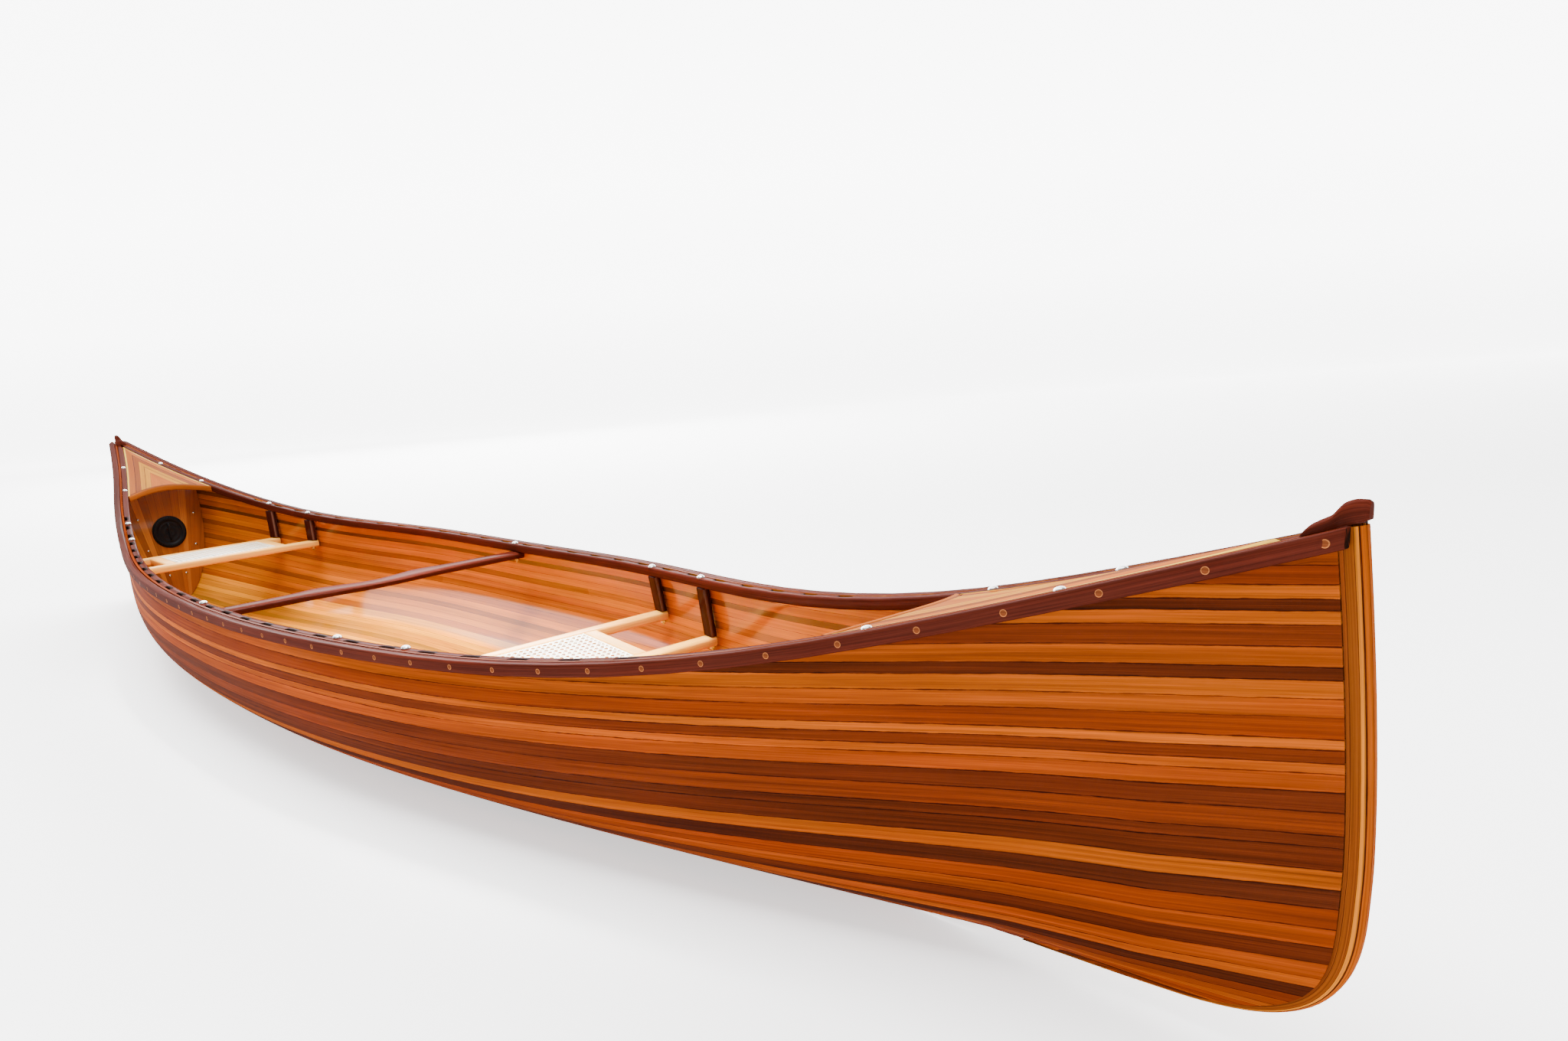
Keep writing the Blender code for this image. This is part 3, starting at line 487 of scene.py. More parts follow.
class Nodes:
    """Short forms for building one material's nodes."""

    def __init__(self, name):
        self.material = bpy.data.materials.new(name)
        self.material.use_nodes = True
        self.tree = self.material.node_tree
        self.shader = self.tree.nodes["Principled BSDF"]

    def add(self, kind, **settings):
        made = self.tree.nodes.new("ShaderNode" + kind)
        for key, value in settings.items():
            setattr(made, key, value)
        return made

    def join(self, source, target):
        self.tree.links.new(source, target)

    def put(self, target, value):
        if isinstance(value, (int, float, tuple)):
            target.default_value = value
        else:
            self.join(value, target)

    def surface(self, **inputs):
        """Set or join the shader's inputs; an underscore stands for a space."""
        for name, value in inputs.items():
            self.put(self.shader.inputs[name.replace("_", " ")], value)

    def attribute(self, name, output="Fac"):
        return self.add("Attribute", attribute_name=name).outputs[output]

    def stretched(self, scale):
        place = self.add("UVMap", uv_map="grain")
        mapping = self.add("Mapping")
        mapping.inputs["Scale"].default_value = (*scale, 1.0)
        self.join(place.outputs["UV"], mapping.inputs["Vector"])
        return mapping.outputs["Vector"]

    def noise(self, vector, scale=1.0, detail=3.0, rough=0.55, distortion=0.0):
        made = self.add("TexNoise")
        for name, value in zip(("Vector", "Scale", "Detail", "Roughness", "Distortion"),
                               (vector, scale, detail, rough, distortion)):
            self.put(made.inputs[name], value)
        return made.outputs["Fac"]

    def span(self, value, low, high, to_low, to_high):
        made = self.add("MapRange")
        self.put(made.inputs["Value"], value)
        for name, number in zip(("From Min", "From Max", "To Min", "To Max"),
                                (low, high, to_low, to_high)):
            self.put(made.inputs[name], number)
        return made.outputs["Result"]

    def math(self, operation, a, b=0.0):
        made = self.add("Math", operation=operation)
        self.put(made.inputs[0], a)
        self.put(made.inputs[1], b)
        return made.outputs["Value"]

    def mix(self, kind, share, a, b):
        made = self.add("Mix", data_type="RGBA", blend_type=kind)
        self.put(made.inputs["Factor"], share)
        self.put(made.inputs[6], a)
        self.put(made.inputs[7], b)
        return made.outputs[2]

    def bump(self, height, strength, distance):
        made = self.add("Bump")
        made.inputs["Strength"].default_value = strength
        made.inputs["Distance"].default_value = distance
        self.join(height, made.inputs["Height"])
        return made.outputs["Normal"]


def grey(n, value):
    made = n.add("CombineColor")
    for name in ("Red", "Green", "Blue"):
        n.put(made.inputs[name], value)
    return made.outputs["Color"]


VARNISH_IOR = 1.45
FAN_STRIPS = 23.0           # bulkhead strips to a radian of their fan
FAN_CENTRE_DROP = 0.22      # how far below the canoe's origin that fan's centre lies


def wood(name, figure=0.30, streak=0.22, pore=0.10, roughness=0.36, coat=0.6, coat_rough=0.06,
         seam=0.0, across=1.0, edge_glint=0.0, shine=0.12):
    """Varnished wood. Its grain follows the "grain" layer, in metres along and across."""
    n = Nodes(name)
    tone = n.attribute("tone", "Color")
    broad = n.noise(n.stretched((0.9, 48 * across)), detail=4.0, distortion=0.7)
    lines = n.noise(n.stretched((2.2, 260 * across)), detail=3.0, distortion=0.3)
    fine = n.noise(n.stretched((9.0, 900 * across)), detail=2.0)
    slow = n.noise(n.stretched((1.6, 7.0)), detail=2.0)
    shade = n.span(broad, 0.30, 0.70, 1 - figure, 1 + figure * 0.7)
    shade = n.math("MULTIPLY", shade, n.span(lines, 0.30, 0.70, 1 - streak, 1 + streak * 0.6))
    shade = n.math("MULTIPLY", shade, n.span(fine, 0.30, 0.70, 1 - pore, 1 + pore * 0.6))
    shade = n.math("MULTIPLY", shade, n.span(slow, 0.28, 0.72, 0.80, 1.14))
    colour = n.mix("MULTIPLY", 1.0, tone, grey(n, shade))
    redden = n.span(n.noise(n.stretched((2.7, 11.0)), detail=3.0), 0.45, 0.75, 0.0, 0.55)
    colour = n.mix("MULTIPLY", redden, colour, (1.0, 0.70, 0.55, 1.0))
    height = n.math("ADD", n.math("MULTIPLY", lines, 0.6), n.math("MULTIPLY", fine, 0.5))
    if seam:
        ragged = n.noise(n.stretched((34.0, 60.0)), detail=3.0)
        width = n.span(ragged, 0.30, 0.75, 0.0002, seam)
        line = n.span(n.math("DIVIDE", n.attribute("edge"), width), 0.55, 1.25, 1.0, 0.0)
        present = n.span(n.noise(n.stretched((3.1, 5.0)), detail=2.0), 0.36, 0.52, 0.40, 0.97)
        line = n.math("MULTIPLY", line, present)
        colour = n.mix("MULTIPLY", line, colour, (0.16, 0.10, 0.09, 1.0))
        height = n.math("SUBTRACT", height, n.math("MULTIPLY", line, 1.4))
    # painted highlight: the colour turns pale where the edge attribute is near 0, a glint along bevelled
    # edges
    if edge_glint:
        glint_share = n.span(n.attribute("edge"), 0.0, 0.0022, edge_glint, 0.0)
        colour = n.mix("MIX", glint_share, colour, (0.62, 0.36, 0.26, 1.0))
    rough = n.span(lines, 0.3, 0.7, roughness - 0.06, roughness + 0.08)
    ripple = n.noise(n.add("TexCoord").outputs["Object"], scale=26.0, detail=2.0)
    n.surface(Base_Color=colour, Roughness=rough, Normal=n.bump(height, 0.3, 0.0004),
              Specular_IOR_Level=shine, Coat_Weight=coat, Coat_Roughness=coat_rough,
              Coat_IOR=VARNISH_IOR, Coat_Normal=n.bump(ripple, 0.10, 0.0015))
    return n.material


def fan_wood(name):
    """Strips that run down a bulkhead towards one point under it."""
    n = Nodes(name)
    place = n.add("SeparateXYZ")
    n.join(n.add("TexCoord").outputs["Object"], place.inputs[0])
    rise = n.math("ADD", place.outputs["Z"], FAN_CENTRE_DROP)
    lean = n.math("ARCTAN2", place.outputs["Y"], rise)
    count = n.math("MULTIPLY", n.math("ADD", lean, 1.0), FAN_STRIPS)
    strip = n.math("FLOOR", count)
    white = n.add("TexWhiteNoise", noise_dimensions="1D")
    n.join(strip, white.inputs["W"])
    ramp = n.add("ValToRGB")
    n.join(white.outputs["Value"], ramp.inputs["Fac"])
    stops = ((0.0, (0.17, 0.036, 0.004)), (0.35, (0.25, 0.060, 0.006)),
             (0.7, (0.33, 0.090, 0.010)), (1.0, (0.44, 0.140, 0.016)))
    while len(ramp.color_ramp.elements) < len(stops):
        ramp.color_ramp.elements.new(0.5)
    for element, (position, colour) in zip(ramp.color_ramp.elements, stops):
        element.position = position
        element.color = (*colour, 1.0)
    vector = n.add("CombineXYZ")
    n.join(n.math("MULTIPLY", count, 9.0), vector.inputs["X"])
    n.join(n.math("MULTIPLY", rise, 3.0), vector.inputs["Y"])
    grain = n.noise(vector.outputs["Vector"], scale=1.0, detail=5.0, distortion=0.6)
    shade = n.span(grain, 0.3, 0.7, 0.72, 1.18)
    colour = n.mix("MULTIPLY", 1.0, ramp.outputs["Color"], grey(n, shade))
    near = n.math("ABSOLUTE", n.math("SUBTRACT", n.math("FRACT", count), 0.5))
    line = n.span(near, 0.47, 0.495, 0.0, 0.85)
    colour = n.mix("MULTIPLY", line, colour, (0.25, 0.15, 0.12, 1.0))
    n.surface(Base_Color=colour, Roughness=n.span(grain, 0.3, 0.7, 0.30, 0.42),
              Normal=n.bump(grain, 0.2, 0.0003), Specular_IOR_Level=0.25, Coat_Weight=0.5,
              Coat_Roughness=0.06)
    return n.material


def plain(name, colour, roughness, metallic=0.0, scale=120.0, vary=0.12, relief=0.08, sheen=0.0,
          shine=0.5):
    """A moulded or metal surface with fine grain and uneven gloss."""
    n = Nodes(name)
    place = n.add("TexCoord").outputs["Object"]
    grain = n.noise(place, scale=scale, detail=4.0)
    spread = n.noise(place, scale=scale / 12, detail=2.0)
    shade = n.span(spread, 0.3, 0.7, 1 - vary, 1 + vary)
    n.surface(Base_Color=n.mix("MULTIPLY", 1.0, (*colour, 1.0), grey(n, shade)),
              Roughness=n.span(grain, 0.3, 0.7, roughness - 0.06, roughness + 0.08),
              Metallic=metallic, Normal=n.bump(grain, relief, 0.0004), Specular_IOR_Level=shine)
    if sheen:
        n.surface(Coat_Weight=sheen, Coat_Roughness=0.12)
    return n.material


CEDAR = wood("cedar_strips", figure=0.34, streak=0.34, pore=0.22, seam=0.0016, coat=0.03,
             coat_rough=0.10, shine=0.0)
CEDAR_INSIDE = wood("cedar_inside", seam=0.0009, figure=0.22, coat=0.55, coat_rough=0.12, shine=0.0)
LAMINATE = wood("stem_laminate", figure=0.30, streak=0.40, pore=0.22, seam=0.0005, coat=0.03,
                coat_rough=0.10, shine=0.0)
MAHOGANY = wood("mahogany", figure=0.30, streak=0.34, pore=0.30, roughness=0.50, coat=0.03,
                coat_rough=0.10, shine=0.0)
# post mahogany with a painted highlight along its bevels
POST = wood("post_mahogany", figure=0.30, streak=0.34, pore=0.30, roughness=0.36, coat=0.10,
            coat_rough=0.06, edge_glint=0.12, shine=0.0)
ASH = wood("ash", figure=0.12, streak=0.20, pore=0.16, roughness=0.40, coat=0.15, across=0.6,
           shine=0.08)
INLAY = wood("deck_inlay", figure=0.16, streak=0.20, pore=0.12, roughness=0.40, coat=0.04,
             coat_rough=0.08, seam=0.0006, shine=0.0)
FAN = fan_wood("fan_cedar")
CANE = plain("woven_cane", TONES["cane"], 0.38, scale=900.0, vary=0.10, relief=0.25, sheen=0.4)
BLACK = plain("black_plastic", (0.006, 0.006, 0.007), 0.42, scale=1400.0, relief=0.35, shine=0.10)
RUBBER = plain("seal_rubber", (0.020, 0.020, 0.020), 0.72, scale=500.0)
STEEL = plain("stainless_steel", (0.42, 0.42, 0.41), 0.18, metallic=1.0, scale=700.0, vary=0.05)


# ---------------------------------------------------------------- mesh collector

class Piece:
    """Collects grids of points, each with its tone, grain coordinates and edge distance."""

    def __init__(self):
        self.points = []
        self.faces = []
        self.grain = []
        self.tone = []
        self.edge = []
        self.normal = []
        self.count = 0

    def patch(self, grid, tone, grain, edge=0.01, normal=None, keep=None, turn=False):
        grid = np.asarray(grid, float)
        rows, columns = grid.shape[:2]
        number = np.arange(rows * columns).reshape(rows, columns) + self.count
        corners = [number[:-1, :-1], number[1:, :-1], number[1:, 1:], number[:-1, 1:]]
        if turn:
            corners = corners[::-1]
        quads = np.stack(corners, axis=-1).reshape(-1, 4)
        if keep is not None:
            quads = quads[np.asarray(keep).ravel()]
        self.points.append(grid.reshape(-1, 3))
        self.faces.append(quads)
        colour = TONES[tone] if isinstance(tone, str) else tone
        for kept, value, width in ((self.grain, grain, 2), (self.tone, colour, 3), (self.edge, edge, 0)):
            shape = (rows, columns, width) if width else (rows, columns)
            full = np.broadcast_to(np.asarray(value, float), shape)
            kept.append(full.reshape(-1, width) if width else full.reshape(-1))
        if normal is not None:
            self.normal.append(np.asarray(normal, float).reshape(-1, 3))
        self.count += rows * columns

    def build(self, name, material, body, replaced=(), angle=38.0, weld=True):
        points = np.concatenate(self.points)
        quads = np.concatenate(self.faces)
        mesh = bpy.data.meshes.new(name)
        mesh.vertices.add(len(points))
        mesh.vertices.foreach_set("co", points.astype(np.float32).ravel())
        mesh.loops.add(quads.size)
        mesh.loops.foreach_set("vertex_index", quads.astype(np.int32).ravel())
        mesh.polygons.add(len(quads))
        mesh.polygons.foreach_set("loop_start", np.arange(0, quads.size, 4, dtype=np.int32))
        mesh.polygons.foreach_set("loop_total", np.full(len(quads), 4, np.int32))
        layer = mesh.uv_layers.new(name="grain")
        flat = np.concatenate(self.grain)[quads.ravel()]
        layer.data.foreach_set("uv", flat.astype(np.float32).ravel())
        tones = np.concatenate(self.tone)
        colour = mesh.attributes.new("tone", "FLOAT_COLOR", "POINT")
        colour.data.foreach_set("color", np.c_[tones, np.ones(len(tones))].astype(np.float32).ravel())
        distance = mesh.attributes.new("edge", "FLOAT", "POINT")
        distance.data.foreach_set("value", np.concatenate(self.edge).astype(np.float32))
        mesh.update(calc_edges=True)
        mesh.validate()
        if weld:
            work = bmesh.new()
            work.from_mesh(mesh)
            bmesh.ops.remove_doubles(work, verts=work.verts, dist=2e-6)
            bmesh.ops.recalc_face_normals(work, faces=work.faces)
            work.to_mesh(mesh)
            work.free()
        mesh.shade_smooth()
        if self.normal:
            mesh.normals_split_custom_set_from_vertices(
                [tuple(v) for v in np.concatenate(self.normal)])
        else:
            mesh.set_sharp_from_angle(angle=math.radians(angle))
        made = add_object(name, mesh)
        mesh.materials.append(material)
        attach(made, body)
        if replaced:
            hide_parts(*replaced)


def sweep(piece, rings, tone, shift=0.0, edge=0.01, end_tone=None):
    """A closed bar through rings of points, with grain along it."""
    rings = np.asarray(rings, float)
    closed = np.concatenate([rings, rings[:, :1]], axis=1)
    reach = arc_length(rings.mean(axis=1))
    girth_at = arc_length(closed[len(closed) // 2])
    piece.patch(closed, tone, crossed(reach, girth_at + shift), edge=edge)
    rim_tone = tone if isinstance(tone, (str, tuple)) else end_tone
    for index in (0, -1):
        ring = closed[index]
        centre = np.broadcast_to(rings[index].mean(axis=0), ring.shape)
        offset = ring - centre
        spread = np.stack([offset[:, 1] + offset[:, 0], offset[:, 2]], axis=-1) * 0.3 + shift
        inset = centre + offset * 0.94
        piece.patch(np.stack([ring, inset]), rim_tone, np.stack([spread, spread * 0.94]))
        piece.patch(np.stack([inset, centre]), end_tone or tone,
                    np.stack([spread * 0.94, spread * 0]))


def rounded(width, height, radius, steps=4, centred=True):
    """Corner points of a rectangle with rounded corners, as (a, b) pairs."""
    result = []
    for turn, (cx, cy) in enumerate(((1, 1), (-1, 1), (-1, -1), (1, -1))):
        for k in range(steps + 1):
            angle = math.pi / 2 * (turn + k / steps)
            result.append((cx * (width / 2 - radius) + radius * math.cos(angle),
                           cy * (height / 2 - radius) + radius * math.sin(angle)))
    if not centred:
        result = [(a + width / 2, b + height / 2) for a, b in result]
    return result


def spun(piece, profile, matrix, tone, sides):
    """A profile of (radius, height) points turned round local Z."""
    angles = np.linspace(0, 2 * math.pi, sides + 1)
    radius, height = (np.asarray(profile, float)[:, k][:, None] for k in range(2))
    grid = np.stack(np.broadcast_arrays(radius * np.cos(angles), radius * np.sin(angles), height),
                    axis=-1)
    piece.patch(placed(grid, matrix), tone, grid[..., :2])


# ---------------------------------------------------------------- hull surface

def surface_table():
    """Fine table of the outer planking of the port side for stations from 0 to 1."""
    stations = np.concatenate([np.linspace(0, 0.86, 74), np.linspace(0.86, 1.0, 30)[1:]])
    shares = np.linspace(0, 1, 97)
    grid = np.array([[hull_point(u, t) for t in shares] for u in stations])
    along_u = np.gradient(grid, axis=0)
    along_t = np.gradient(grid, axis=1)
    normal = np.cross(along_t, along_u)
    near_stem = (stations > 0.9)[:, None]
    normal[:, :, 2] = np.where(near_stem, np.minimum(normal[:, :, 2], 0), normal[:, :, 2])
    normal /= np.maximum(np.linalg.norm(normal, axis=2, keepdims=True), 1e-12)
    return stations, shares, grid, normal, np.array([girth(u) for u in stations])


TABLE_U, TABLE_T, TABLE_P, TABLE_N, TABLE_G = surface_table()


def surface_at(index, shares, depth):
    """Points and normals at one tabled station; depth goes inwards."""
    point, normal = (np.stack([np.interp(shares, TABLE_T, table[index, :, k]) for k in range(3)],
                              axis=-1) for table in (TABLE_P, TABLE_N))
    point = point - normal * depth
    point[:, 1] = np.maximum(point[:, 1], GAP / 2)
    return point, normal


def seam_reference(x):
    """How far the first full-length seam lies under the sheer."""
    y = np.clip((np.abs(x) - 1.0) / 1.3, 0, 1)
    return 0.26 * (y ** 3 - y ** 4 / 2) + 0.2 * np.maximum(np.abs(x) - 2.3, 0) + 0.0065


# Width and tone of each strip, up from the first full-length seam and then down from it
STRIPS_ABOVE = ((0.014, "dark"), (0.0215, "gold"), (0.0225, "brown"), (0.015, "yellow"),
                (0.012, "dark"), (0.015, "yellow"), (0.020, "red"), (0.030, "orange"))
STARBOARD_BELOW = ((0.020, "yellow"), (0.020, "gold"), (0.023, "red"), (0.012, "yellow"),
                   (0.0145, "brown"), (0.0115, "gold"), (0.0205, "orange"), (0.0225, "dark"),
                   (0.026, "brown"), (0.014, "dark"), (0.026, "dark"), (0.023, "yellow"),
                   (0.023, "umber"), (0.025, "red"), (0.022, "orange"), (0.022, "dark"),
                   (0.022, "orange"), (0.015, "gold"), (0.0195, "umber"))
PORT_BELOW = ((0.020, "orange"), (0.020, "red"), (0.012, "umber"), (0.021, "orange"),
              (0.020, "orange"), (0.015, "brown"), (0.020, "orange"), (0.018, "red"),
              (0.016, "brown"), (0.020, "orange"), (0.020, "red"), (0.021, "orange"),
              (0.014, "brown"), (0.020, "orange"), (0.020, "orange"), (0.020, "red"),
              (0.020, "gold"), (0.020, "orange"))
INSIDE_PAINTED_LIGHT = np.array([2.35, 3.7, 0.6])    # painted light: how much paler a strip is drawn inside than outside, for the light falling into the hull
BOTTOM_STRIPS = 0.28        # below this distance from the seam the strips inside are painted paler still, a painted pool of light on the bottom
BOTTOM_PAINTED_LIGHT = np.array([0.60, 1.3, 0.5])
BOTTOM_BLEND = 0.06
PALEST = 0.92
LAST_SEAM = 0.80            # strips are laid down to here, past the keel line everywhere
MIXED_WIDTH = 0.0195
MIXED = ("orange", "brown", "red", "orange", "gold", "red", "brown", "orange", "dark", "orange")


def strip_list(above, below):
    """(top offset, bottom offset, tone) of each strip, measured from the first long seam."""
    rows = []
    at = 0.0
    for width, tone in above:
        rows.append((at - width, at, tone))
        at -= width
    at = 0.0
    for width, tone in below:
        rows.append((at, at + width, tone))
        at += width
    while at < LAST_SEAM:
        rows.append((at, at + MIXED_WIDTH, MIXED[int(draw.integers(len(MIXED)))]))
        at += MIXED_WIDTH
    return rows


def make_planking(side, word, above, below):
    """Every cedar strip of one side, outside and inside, each with its own tone and grain."""
    outside = Piece()
    inside = Piece()
    order = [(-i) for i in range(len(TABLE_U) - 1, 0, -1)] + list(range(len(TABLE_U)))
    index = np.abs(order)
    sign = np.where(np.array(order) < 0, -1.0, 1.0)
    sheer_x = TABLE_U[index] * STEM_LINE_X * sign
    reference = seam_reference(sheer_x)
    tighten = np.interp(np.abs(sheer_x), (2.2, 2.4), (1.06, 1.0))
    width_limit = TABLE_G[index]
    for number, (top, bottom, tone) in enumerate(strip_list(above, below)):
        start = np.clip(reference + tighten * top, 0, width_limit)
        stop = np.clip(reference + tighten * bottom, 0, width_limit)
        wide = stop - start
        if wide.max() < 1e-4:
            continue
        breaks = []
        if number % 3 == 1 and abs(top) > 0.05:
            breaks = [int(draw.integers(len(order) // 4, 3 * len(order) // 4))]
        bounds = [0] + breaks + [len(order) - 1]
        base = np.array(TONES[tone]) * draw.uniform(0.88, 1.10)
        shift = draw.uniform(0, 50, 2)
        for part, (first, last) in enumerate(zip(bounds, bounds[1:])):
            shade = base * (1.0 if part == 0 else draw.uniform(0.72, 1.25))
            chosen = slice(first, last + 1)
            columns = np.array([0.0, 0.5, 1.0])
            for piece, depth, outward in ((outside, 0.0, 1.0), (inside, PLANK, -1.0)):
                grid = []
                normals = []
                for k in range(first, last + 1):
                    t = 1 - (start[k] + wide[k] * columns) / width_limit[k]
                    point, normal = surface_at(index[k], t, depth)
                    mirror = np.array([sign[k], side, 1.0])
                    grid.append(point * mirror)
                    normals.append(normal * mirror * outward)
                grid = np.array(grid)
                u = np.broadcast_to(sheer_x[chosen][:, None] + shift[0], grid.shape[:2])
                v = wide[chosen][:, None] * columns + shift[1]
                edge = wide[chosen][:, None] * np.array([0.0, 0.5, 0.0])
                keep = ((wide[chosen][:-1] > 1e-5) | (wide[chosen][1:] > 1e-5))
                keep = np.repeat(keep[:, None], 2, axis=1)
                tint = shade
                # inside strips are painted paler than the same strips outside, and palest on the bottom:
                # painted light
                if piece is inside:
                    bottom_light_share = min(1.0, max(0.0, (top - BOTTOM_STRIPS) / BOTTOM_BLEND))
                    tint = np.minimum(shade * INSIDE_PAINTED_LIGHT * (1 + bottom_light_share * BOTTOM_PAINTED_LIGHT), PALEST)
                piece.patch(grid, tint, np.stack([u, v], axis=-1), edge=edge, normal=normals,
                            keep=keep, turn=(outward * side < 0))
    sheer = np.array([1.0])
    rim = np.array([[surface_at(index[k], sheer, depth)[0][0] * (sign[k], side, 1.0)
                     for depth in (0.0, PLANK)] for k in range(len(order))])
    outside.patch(rim, "brown", crossed(sheer_x, [0.0, PLANK]),
                  normal=[(0, 0, 1)] * (2 * len(order)), turn=side > 0)
    outside.build("planking_strips_" + word, CEDAR, "hull",
                  ("planking_" + word, "planking_bottom_" + word), weld=False)
    inside.build("planking_inside_" + word, CEDAR_INSIDE, "hull", weld=False)


# ---------------------------------------------------------------- stems and caps

# Laminations as (inboard edge, outboard edge, tone), in shares of the stem's depth
STEM_LAYERS = ((1.0, 0.82, "olive"), (0.82, 0.42, "russet"), (0.42, 0.24, "amber"),
               (0.24, 0.20, "dark"), (0.20, 0.0, "yellow"))
STEM_PLUG_HEIGHTS = (0.572, 0.421, 0.282)
STEM_PLUG_RADIUS = 0.0034
# Height of a cap over the sheer against the share of its length, from inboard to its nose
CAP_CREST = ((0.0, 0.0020), (0.04, 0.0065), (0.12, 0.0102), (0.24, 0.0122), (0.36, 0.0134),
             (0.42, 0.0146), (0.47, 0.0172), (0.53, 0.0212), (0.59, 0.0238), (0.70, 0.0245),
             (0.84, 0.0238), (0.93, 0.0216), (1.0, 0.0176))
CAP_NARROWS_FROM = 0.35     # share of its length
CAP_NARROWS_BY = 0.58


def make_stem(end):
    """Bent laminations, from the planking out to the rounded nose."""
    word = end_name(end)
    raw = np.array(PROFILE)
    reach = arc_length(raw[:, :2])
    places = np.linspace(0, reach[-1], 90)
    x, z, depth = (np.interp(places, reach, raw[:, axis]) for axis in range(3))
    smooth = np.array([0.25, 0.5, 0.25])
    for _ in range(3):
        x[1:-1] = np.convolve(x, smooth, "valid")
        z[1:-1] = np.convolve(z, smooth, "valid")
    x = np.minimum(x, HALF_LENGTH)
    dx = np.gradient(x)
    dz = np.gradient(z)
    length = np.hypot(dx, dz)
    inward = np.stack([-dz / length, dx / length], axis=-1)
    slim = np.minimum(1.0, depth / STEM_BAND[2])
    wide = STEM_HALF_WIDTH * (0.25 + 0.75 * slim)
    nose = STEM_NOSE_HALF_WIDTH * slim + 0.002 * (1 - slim)
    share_in = (0.0, 0.05, 0.15, 0.35, 1.0)
    piece = Piece()
    for inboard_edge, outboard_edge, tone in STEM_LAYERS:
        shift = draw.uniform(0, 20)
        for side in (1, -1):
            cuts = np.linspace(inboard_edge, outboard_edge, 4)
            if outboard_edge == 0.0:
                cuts = np.array([0.20, 0.14, 0.09, 0.045, 0.018, 0.0])
            rows = []
            for k in range(len(x)):
                full = np.interp(cuts, share_in,
                                 (nose[k] * 0.72, nose[k] + 0.0007, nose[k] + 0.0024,
                                  wide[k] * 0.93, wide[k]))
                px = x[k] + inward[k, 0] * depth[k] * cuts
                pz = z[k] + inward[k, 1] * depth[k] * cuts
                rows.append(np.stack([end * px, side * full, pz], axis=-1))
            rows = np.array(rows)
            limit = np.array([[edge_height(abs(p[0])) - GAP for p in row] for row in rows])
            rows[..., 2] = np.minimum(rows[..., 2], limit)
            span = abs(inboard_edge - outboard_edge) * depth[:, None]
            local = np.abs(cuts - inboard_edge) / abs(inboard_edge - outboard_edge)
            edge = np.minimum(local, 1 - local)[None, :] * span
            piece.patch(rows, tone, crossed(places, cuts * 0.05 + shift), edge=edge,
                        turn=side * end > 0)
            if outboard_edge == 0.0 and side > 0:
                front = np.stack([rows[:, -1], rows[:, -1] * np.array([1, -1, 1])], axis=1)
                piece.patch(front, tone, crossed(places, np.array([0.0, 0.012]) + shift), edge=0.003)
    piece.build("laminated_stem_" + word, LAMINATE, "hull", ("outer_stem_" + word,),
                angle=50.0, weld=False)
    plugs = Piece()
    for height in STEM_PLUG_HEIGHTS:
        k = int(np.argmin(np.abs(z - height) + (x < 2.3)))
        out = Vector((-end * inward[k, 0], 0, -inward[k, 1]))
        radius = STEM_PLUG_RADIUS
        spun(plugs, [(0.0, -0.0002), (radius * 0.8, -0.0003), (radius, -0.0008), (radius, -0.003)],
             facing((end * x[k], 0, z[k]), out), "rosewood", sides=20)
    plugs.build("stem_plugs_" + word, MAHOGANY, "hull")


def make_cap(end):
    """The carved cap over the end of the gunwales."""
    word = end_name(end)
    piece = Piece()
    low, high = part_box("stem_cap_" + word)
    near, far = (low.x, high.x) if end > 0 else (-high.x, -low.x)
    rings = []
    for share in np.linspace(0, 1, 46):
        x = near + share * (far - near)
        base = edge_height(x) + 2 * GAP
        top = min(base + read_off(share, CAP_CREST), high.z)
        wide = max(edge_breadth(min(x, SHEER_POINTS[-1].x)) - 0.001, 0.0125)
        past = max(0.0, (share - CAP_NARROWS_FROM) / (1 - CAP_NARROWS_FROM))
        wide *= 1.0 - CAP_NARROWS_BY * past ** 1.4
        ring = [(end * x, -wide, base), (end * x, wide, base)]
        rise = top - base
        for k in range(13):
            angle = math.pi * k / 12
            across = math.copysign(abs(math.cos(angle)) ** 0.62, math.cos(angle))
            ring.append((end * x, wide * across,
                         base + rise * (0.30 + 0.70 * math.sin(angle) ** 0.8)))
        rings.append(ring)
    sweep(piece, rings, "mahogany", shift=draw.uniform(0, 9))
    piece.build("carved_cap_" + word, MAHOGANY, "hull", ("stem_cap_" + word,), angle=50)


# ---------------------------------------------------------------- gunwales

BUNG_COUNT = 45
BUNG_FIRST_X = 2.382
BUNG_PITCH = 0.10827
BUNG_RADIUS = 0.0037
BUNG_FACE = (0.13, 0.034, 0.010)
BUNG_GLUE_LINE = (0.30, 0.100, 0.030)
# end faces of the outwales: darker end grain, with painted shade making them near-black
END_GRAIN_AND_SHADE = (0.008, 0.004, 0.003)


def edge_slope(measure, x):
    """Slope of a measure of the gunwale along X."""
    return (measure(x + 0.01) - measure(x - 0.01)) / 0.02


